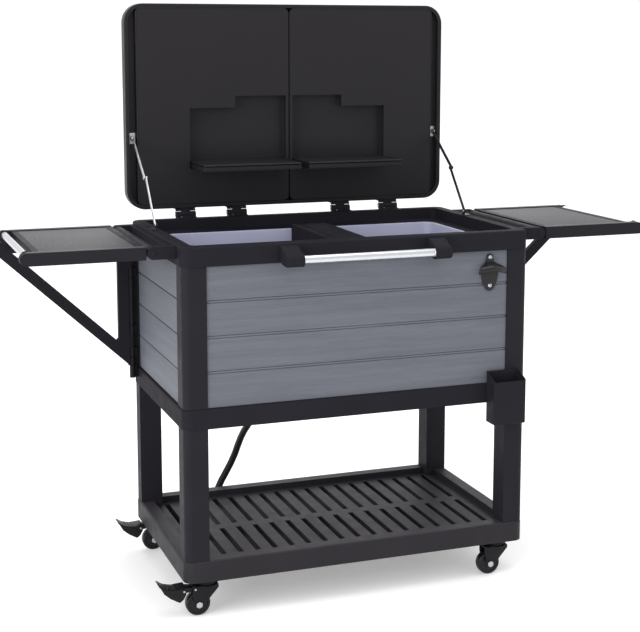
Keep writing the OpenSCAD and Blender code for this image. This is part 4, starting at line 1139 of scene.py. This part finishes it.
    def eyelet(self, name, side, low, high):
        """Rod through the tip of the folding bracket, with a washer at each end."""
        tip = side * (max(abs(low.x), abs(high.x)) - self.TIP * MM)
        z = high.z - self.TIP * MM
        front, back = high.y - self.TIP_W * MM, high.y
        bm = bmesh.new()
        for y, way in ((front, -1), (back, 1)):
            add_washer(bm, (tip, y, z), (0, way, 0), hole=3.1, outer=6.4, height=1.0)
        start, end = front - self.TIP_OUT * MM, back + self.TIP_OUT * MM
        add_rod(bm, (tip, start, z), (tip, end, z), self.TIP_ROD_R * MM, 20)
        piece("bracket_eyelets_" + name, bm, name + "_bracket", "frame_metal")


class CART_OT_pins(bpy.types.Operator):
    """Pins of the tables and the brackets, black as the frame"""

    bl_idname = "cart.pins"
    bl_label = "Side pins"

    PIN_CAP = ((0, 1.6), (4.6, 1.5), (5.8, 0.9), (5.8, -0.4), (0, -0.4))
    # In millimetres: the tables' pins, then the brackets' and where these start in the bracket
    TABLE_PIN_L, TABLE_PIN_R = 33, 3.9
    BRACKET_PIN_L, BRACKET_PIN_R, BRACKET_LOW, BRACKET_HIGH = 74, 2.9, 18, 92

    def execute(self, context):
        bm = bmesh.new()
        for name, side in SIDES:
            low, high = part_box("table_frame_" + name)
            x, z = side * (HALF_W + TABLE_PIN_OUT), high.z - TABLE_PIN_DROP
            for y0, y1 in ((low.y, low.y + self.TABLE_PIN_L * MM), (high.y - self.TABLE_PIN_L * MM, high.y)):
                add_rod(bm, (x, y0, z), (x, y1, z), self.TABLE_PIN_R * MM)
            bracket_low, bracket_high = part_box("bracket_" + name)
            x = side * (HALF_W + BRACKET_OUT)
            for start in (bracket_low.z + self.BRACKET_LOW * MM, bracket_high.z - self.BRACKET_HIGH * MM):
                end = start + self.BRACKET_PIN_L * MM
                add_rod(bm, (x, BRACKET_Y, start), (x, BRACKET_Y, end), self.BRACKET_PIN_R * MM)
                for z, way in ((start + 1 * MM, -1), (end - 1 * MM, 1)):
                    add_cap(bm, self.PIN_CAP, (x, BRACKET_Y, z), (0, 0, way))
        refinish(piece("side_pin_set", bm, "cart", "zinc", ("side_pins",)), "frame_metal")
        return {"FINISHED"}


class CART_OT_lid(bpy.types.Operator):
    """Lid lining beads, hinge screws and fillers, and the two fold-down shelves"""

    bl_idname = "cart.lid"
    bl_label = "Lid"

    # In millimetres: how far in the beads of the lid's lip and of the lining lie, and their corners
    LIP_INSET, LIP_CORNER = 5.2, 37
    LINING_INSET, LINING_CORNER, LINING_MIDDLE = 2.2, 10, 1.6
    # Walls of the shelves and how far their pivot lies from the back
    SHELF_END, LIP_T, CHEEK_T, PIVOT_IN, PIVOT_R = 5, 4, 3.4, 8, 2.45
    # A shelf's floor, top and foot below its lip, and the free ends of its cheeks
    FLOOR_TOP, FLOOR_FOOT, CHEEK_FRONT, CHEEK_BACK = 2.2, 5.5, 1, 7
    # Ribs of a shelf: half thickness, distance from ends and foot, below the lip, and free at the back
    RIB_HALF, RIB_GAP, RIB_TOP, RIB_BACK = 0.9, 3, 5, 12
    # Screws of the leaves: sideways from a hinge's middle, to the back and down
    RIM_SCREW, LID_SCREW = (14, 3, 24), (16, 4, 3)
    # Webs below a knuckle, from the hinge's axis: half width, near face, then far face, foot and top
    WEB_HALF, WEB_NEAR, WEBS = 9.4, 5.5, ((13.2, -15, -6.4), (9, -7, -4.4))
    # Wings beside a leaf: from and to along x, half thickness, foot and top
    WING_X, WING_HALF, WING_Z = (10.4, 22.6), 2.5, (7, 10.8)

    def execute(self, context):
        self.beads()
        for name, _ in SIDES:
            self.shelf(name)
        self.hinge_screws()
        self.hinge_fillers()
        return {"FINISHED"}

    def beads(self):
        """Fine bead round the lip of the open lid, and one round each half of the lining."""
        low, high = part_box("lid_shell")
        inset, corner = self.LIP_INSET * MM, self.LIP_CORNER * MM
        bm = bmesh.new()
        outline = oblong(low.x + inset, low.z + inset, high.x - inset, high.z - inset, corner, 12)
        add_ring(bm, outline, 1.1, 0.5, plane((0, low.y, 0), (1, 0, 0), (0, 0, 1)), bevel=0.2)
        low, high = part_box("lid_panels")
        inset, corner = self.LINING_INSET * MM, self.LINING_CORNER * MM
        for side in (-1, 1):
            x0, x1 = sorted((side * self.LINING_MIDDLE * MM, side * (high.x - inset)))
            outline = oblong(x0, low.z + inset, x1, high.z - inset, corner, 6)
            add_ring(bm, outline, 1.2, 0.5, plane((0, low.y, 0), (1, 0, 0), (0, 0, 1)), bevel=0.2)
        piece("lid_beads", bm, "lid", "lid_black")

    def shelf(self, name):
        """Fold-down shelf: a floor with a raised front lip, side cheeks, ribs below and its pivot rod."""
        low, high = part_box("lid_shelf_" + name)
        x0, x1 = low.x + self.SHELF_END * MM, high.x - self.SHELF_END * MM
        pivot_y, pivot_z = high.y - self.PIVOT_IN * MM, (low.z + high.z) / 2
        bm = bmesh.new()
        foot, top = high.z - self.FLOOR_FOOT * MM, high.z - self.FLOOR_TOP * MM
        add_block(bm, (x0, low.y, foot), (x1, pivot_y, top), 0.8)
        add_block(bm, (x0, low.y, low.z), (x1, low.y + self.LIP_T * MM, high.z), 1.4, 3)
        for x in (x0, x1 - self.CHEEK_T * MM):
            corner = (x + self.CHEEK_T * MM, high.y - self.CHEEK_BACK * MM, high.z)
            add_block(bm, (x, low.y + self.CHEEK_FRONT * MM, low.z), corner, 1.2, 3)
        barrel = (high.z - low.z) / 2 - 0.2 * MM
        add_rod(bm, (x0, pivot_y, pivot_z), (x1, pivot_y, pivot_z), barrel, 32, bevel=1.0)
        add_rod(bm, (low.x, pivot_y, pivot_z), (high.x, pivot_y, pivot_z), self.PIVOT_R * MM, 20)
        half, gap = self.RIB_HALF * MM, self.RIB_GAP * MM
        for k in range(1, 4):
            y = low.y + k * (high.y - self.RIB_BACK * MM - low.y) / 4
            corner = (x1 - gap, y + half, high.z - self.RIB_TOP * MM)
            add_block(bm, (x0 + gap, y - half, low.z + gap), corner, 0.4)
        piece("lid_shelf_tray_" + name, bm, name + "_lid_shelf", "lid_black", ("lid_shelf_" + name,))

    def hinge_screws(self):
        """Two screws in each leaf on the rim and on the lid."""
        leaf_low, leaf_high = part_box("lid_hinges")
        leaf_y = (leaf_low.y + leaf_high.y) / 2
        rim, lid = bmesh.new(), bmesh.new()
        for x in HINGE_XS:
            for side in (-1, 1):
                across, back, down = metres([self.RIM_SCREW])[0]
                spot = (x + side * across, BACK + back, RIM_TOP - down)
                add_screw(rim, spot, (0, 1, 0), radius=2.8, height=1.2)
                across, back, down = metres([self.LID_SCREW])[0]
                spot = (x + side * across, leaf_y + back, leaf_high.z - down)
                add_screw(lid, spot, (0, 0, -1), radius=2.6, height=1.2)
        piece("rim_hinge_screws", rim, "cart", "frame_metal")
        piece("lid_hinge_screws", lid, "lid", "frame_metal")

    def hinge_fillers(self):
        """Webs below the lid's knuckles and wings beside its leaves, which close the hinges to the eye."""
        webs, wings = bmesh.new(), bmesh.new()
        y, z = HINGE_Y, HINGE_Z
        half_w, half_t = self.WEB_HALF * MM, self.WING_HALF * MM
        foot, top = (z + up * MM for up in self.WING_Z)
        for x in HINGE_XS:
            for far, low, high in self.WEBS:
                corner = (x + half_w, y - self.WEB_NEAR * MM, z + high * MM)
                add_block(webs, (x - half_w, y - far * MM, z + low * MM), corner)
            for side in (-1, 1):
                a, b = sorted(x + side * out * MM for out in self.WING_X)
                add_block(wings, (a, y - half_t, foot), (b, y + half_t, top))
        piece("hinge_webs", webs, "cart", "frame_metal")
        piece("hinge_wings", wings, "lid", "frame_metal")


class CART_OT_stays(bpy.types.Operator):
    """Rivets of the two lid stays"""

    bl_idname = "cart.stays"
    bl_label = "Stay rivets"

    RIVET = ((0, 1.5), (1.8, 1.3), (3.0, 0.6), (3.3, 0), (3.3, -0.3), (0, -0.3))
    # Body, how far in from the body's side, back from its front and up from the rim, and the way it looks
    PLACES = (("cart", 19.2, 282, 8, -1), ("lid", 9.1, 468, 178, 1))

    def execute(self, context):
        for name, side in SIDES:
            for body, inward, back, up, way in self.PLACES:
                bm = bmesh.new()
                centre = (side * (HALF_W - inward * MM), FRONT + back * MM, RIM_TOP + up * MM)
                add_cap(bm, self.RIVET, centre, (way * side, 0, 0))
                piece("stay_rivet_%s_%s" % (body, name), bm, body, "zinc")
        return {"FINISHED"}


class CART_OT_bin(bpy.types.Operator):
    """Cap bin: open box with a mouth that slopes to the front and rounded front corners"""

    bl_idname = "cart.bin"
    bl_label = "Cap bin"

    # In millimetres: the wall, and how far the mouth falls to the front over which depth
    WALL, MOUTH_FALL, MOUTH_DEPTH = 2.2, 17, 38
    # Slack of the test for an edge on the front or the bottom, and the least height of an upright one
    SLACK, UPRIGHT = 0.1, 10

    def execute(self, context):
        low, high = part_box("cap_bin")
        slack = self.SLACK * MM
        bm = bmesh.new()
        add_block(bm, low, high)
        upright = [
            e for e in bm.edges
            if abs(e.verts[0].co.z - e.verts[1].co.z) > self.UPRIGHT * MM
            and e.verts[0].co.y < low.y + slack
        ]
        bevel_edges(bm, upright, 5.0, 5)
        # The mouth is cut on a slope and opened, then the wall gets its thickness
        slope = Vector((0, -self.MOUTH_FALL, self.MOUTH_DEPTH)).normalized()
        bmesh.ops.bisect_plane(
            bm, geom=bm.verts[:] + bm.edges[:] + bm.faces[:], plane_co=(0, high.y, high.z - 0.4 * MM),
            plane_no=slope, clear_outer=True,
        )
        if not any(e.is_boundary for e in bm.edges):
            raise RuntimeError("the cap bin has no mouth")
        bmesh.ops.recalc_face_normals(bm, faces=bm.faces)
        bottom = [
            e for e in bm.edges
            if not e.is_boundary and max(v.co.z for v in e.verts) < low.z + slack
        ]
        bevel_edges(bm, bottom, 2.0, 3)
        bmesh.ops.solidify(bm, geom=bm.faces[:], thickness=self.WALL * MM)
        piece("cap_bin_shell", bm, "cart", "bin_black", ("cap_bin",), bevel=0.5)
        return {"FINISHED"}


# Panel and run


class CART_PT_panel(bpy.types.Panel):
    """Settings and steps of the cooler cart"""

    bl_label = "Cooler cart"
    bl_idname = "CART_PT_panel"
    bl_space_type = "VIEW_3D"
    bl_region_type = "UI"
    bl_category = "Cooler cart"

    def draw(self, context):
        layout = self.layout
        for group in (context.scene.cart_colours, context.scene.cart_sizes):
            for key in group.bl_rna.properties.keys():
                if key not in ("rna_type", "name"):
                    layout.prop(group, key)
        for step in STEPS:
            layout.operator(step.bl_idname)


STEPS = (
    CART_OT_stage, CART_OT_hose, CART_OT_boards, CART_OT_shelf, CART_OT_opener, CART_OT_casters,
    CART_OT_handle, CART_OT_tables, CART_OT_pins, CART_OT_lid, CART_OT_stays, CART_OT_bin,
)
CLASSES = (CartColours, CartSizes, *STEPS, CART_PT_panel)


def register():
    for made in CLASSES:
        bpy.utils.register_class(made)
    bpy.types.Scene.cart_colours = bpy.props.PointerProperty(type=CartColours)
    bpy.types.Scene.cart_sizes = bpy.props.PointerProperty(type=CartSizes)


def unregister():
    del bpy.types.Scene.cart_sizes
    del bpy.types.Scene.cart_colours
    for made in reversed(CLASSES):
        bpy.utils.unregister_class(made)


def main():
    register()
    make_finishes(bpy.context.scene.cart_colours)
    dress_solids()
    bpy.ops.cart.stage()
    bpy.ops.cart.hose()
    bpy.ops.cart.boards()
    bpy.ops.cart.shelf()
    bpy.ops.cart.opener()
    bpy.ops.cart.casters()
    bpy.ops.cart.handle()
    bpy.ops.cart.tables()
    bpy.ops.cart.pins()
    bpy.ops.cart.lid()
    bpy.ops.cart.stays()
    bpy.ops.cart.bin()


if __name__ == "__main__":
    main()
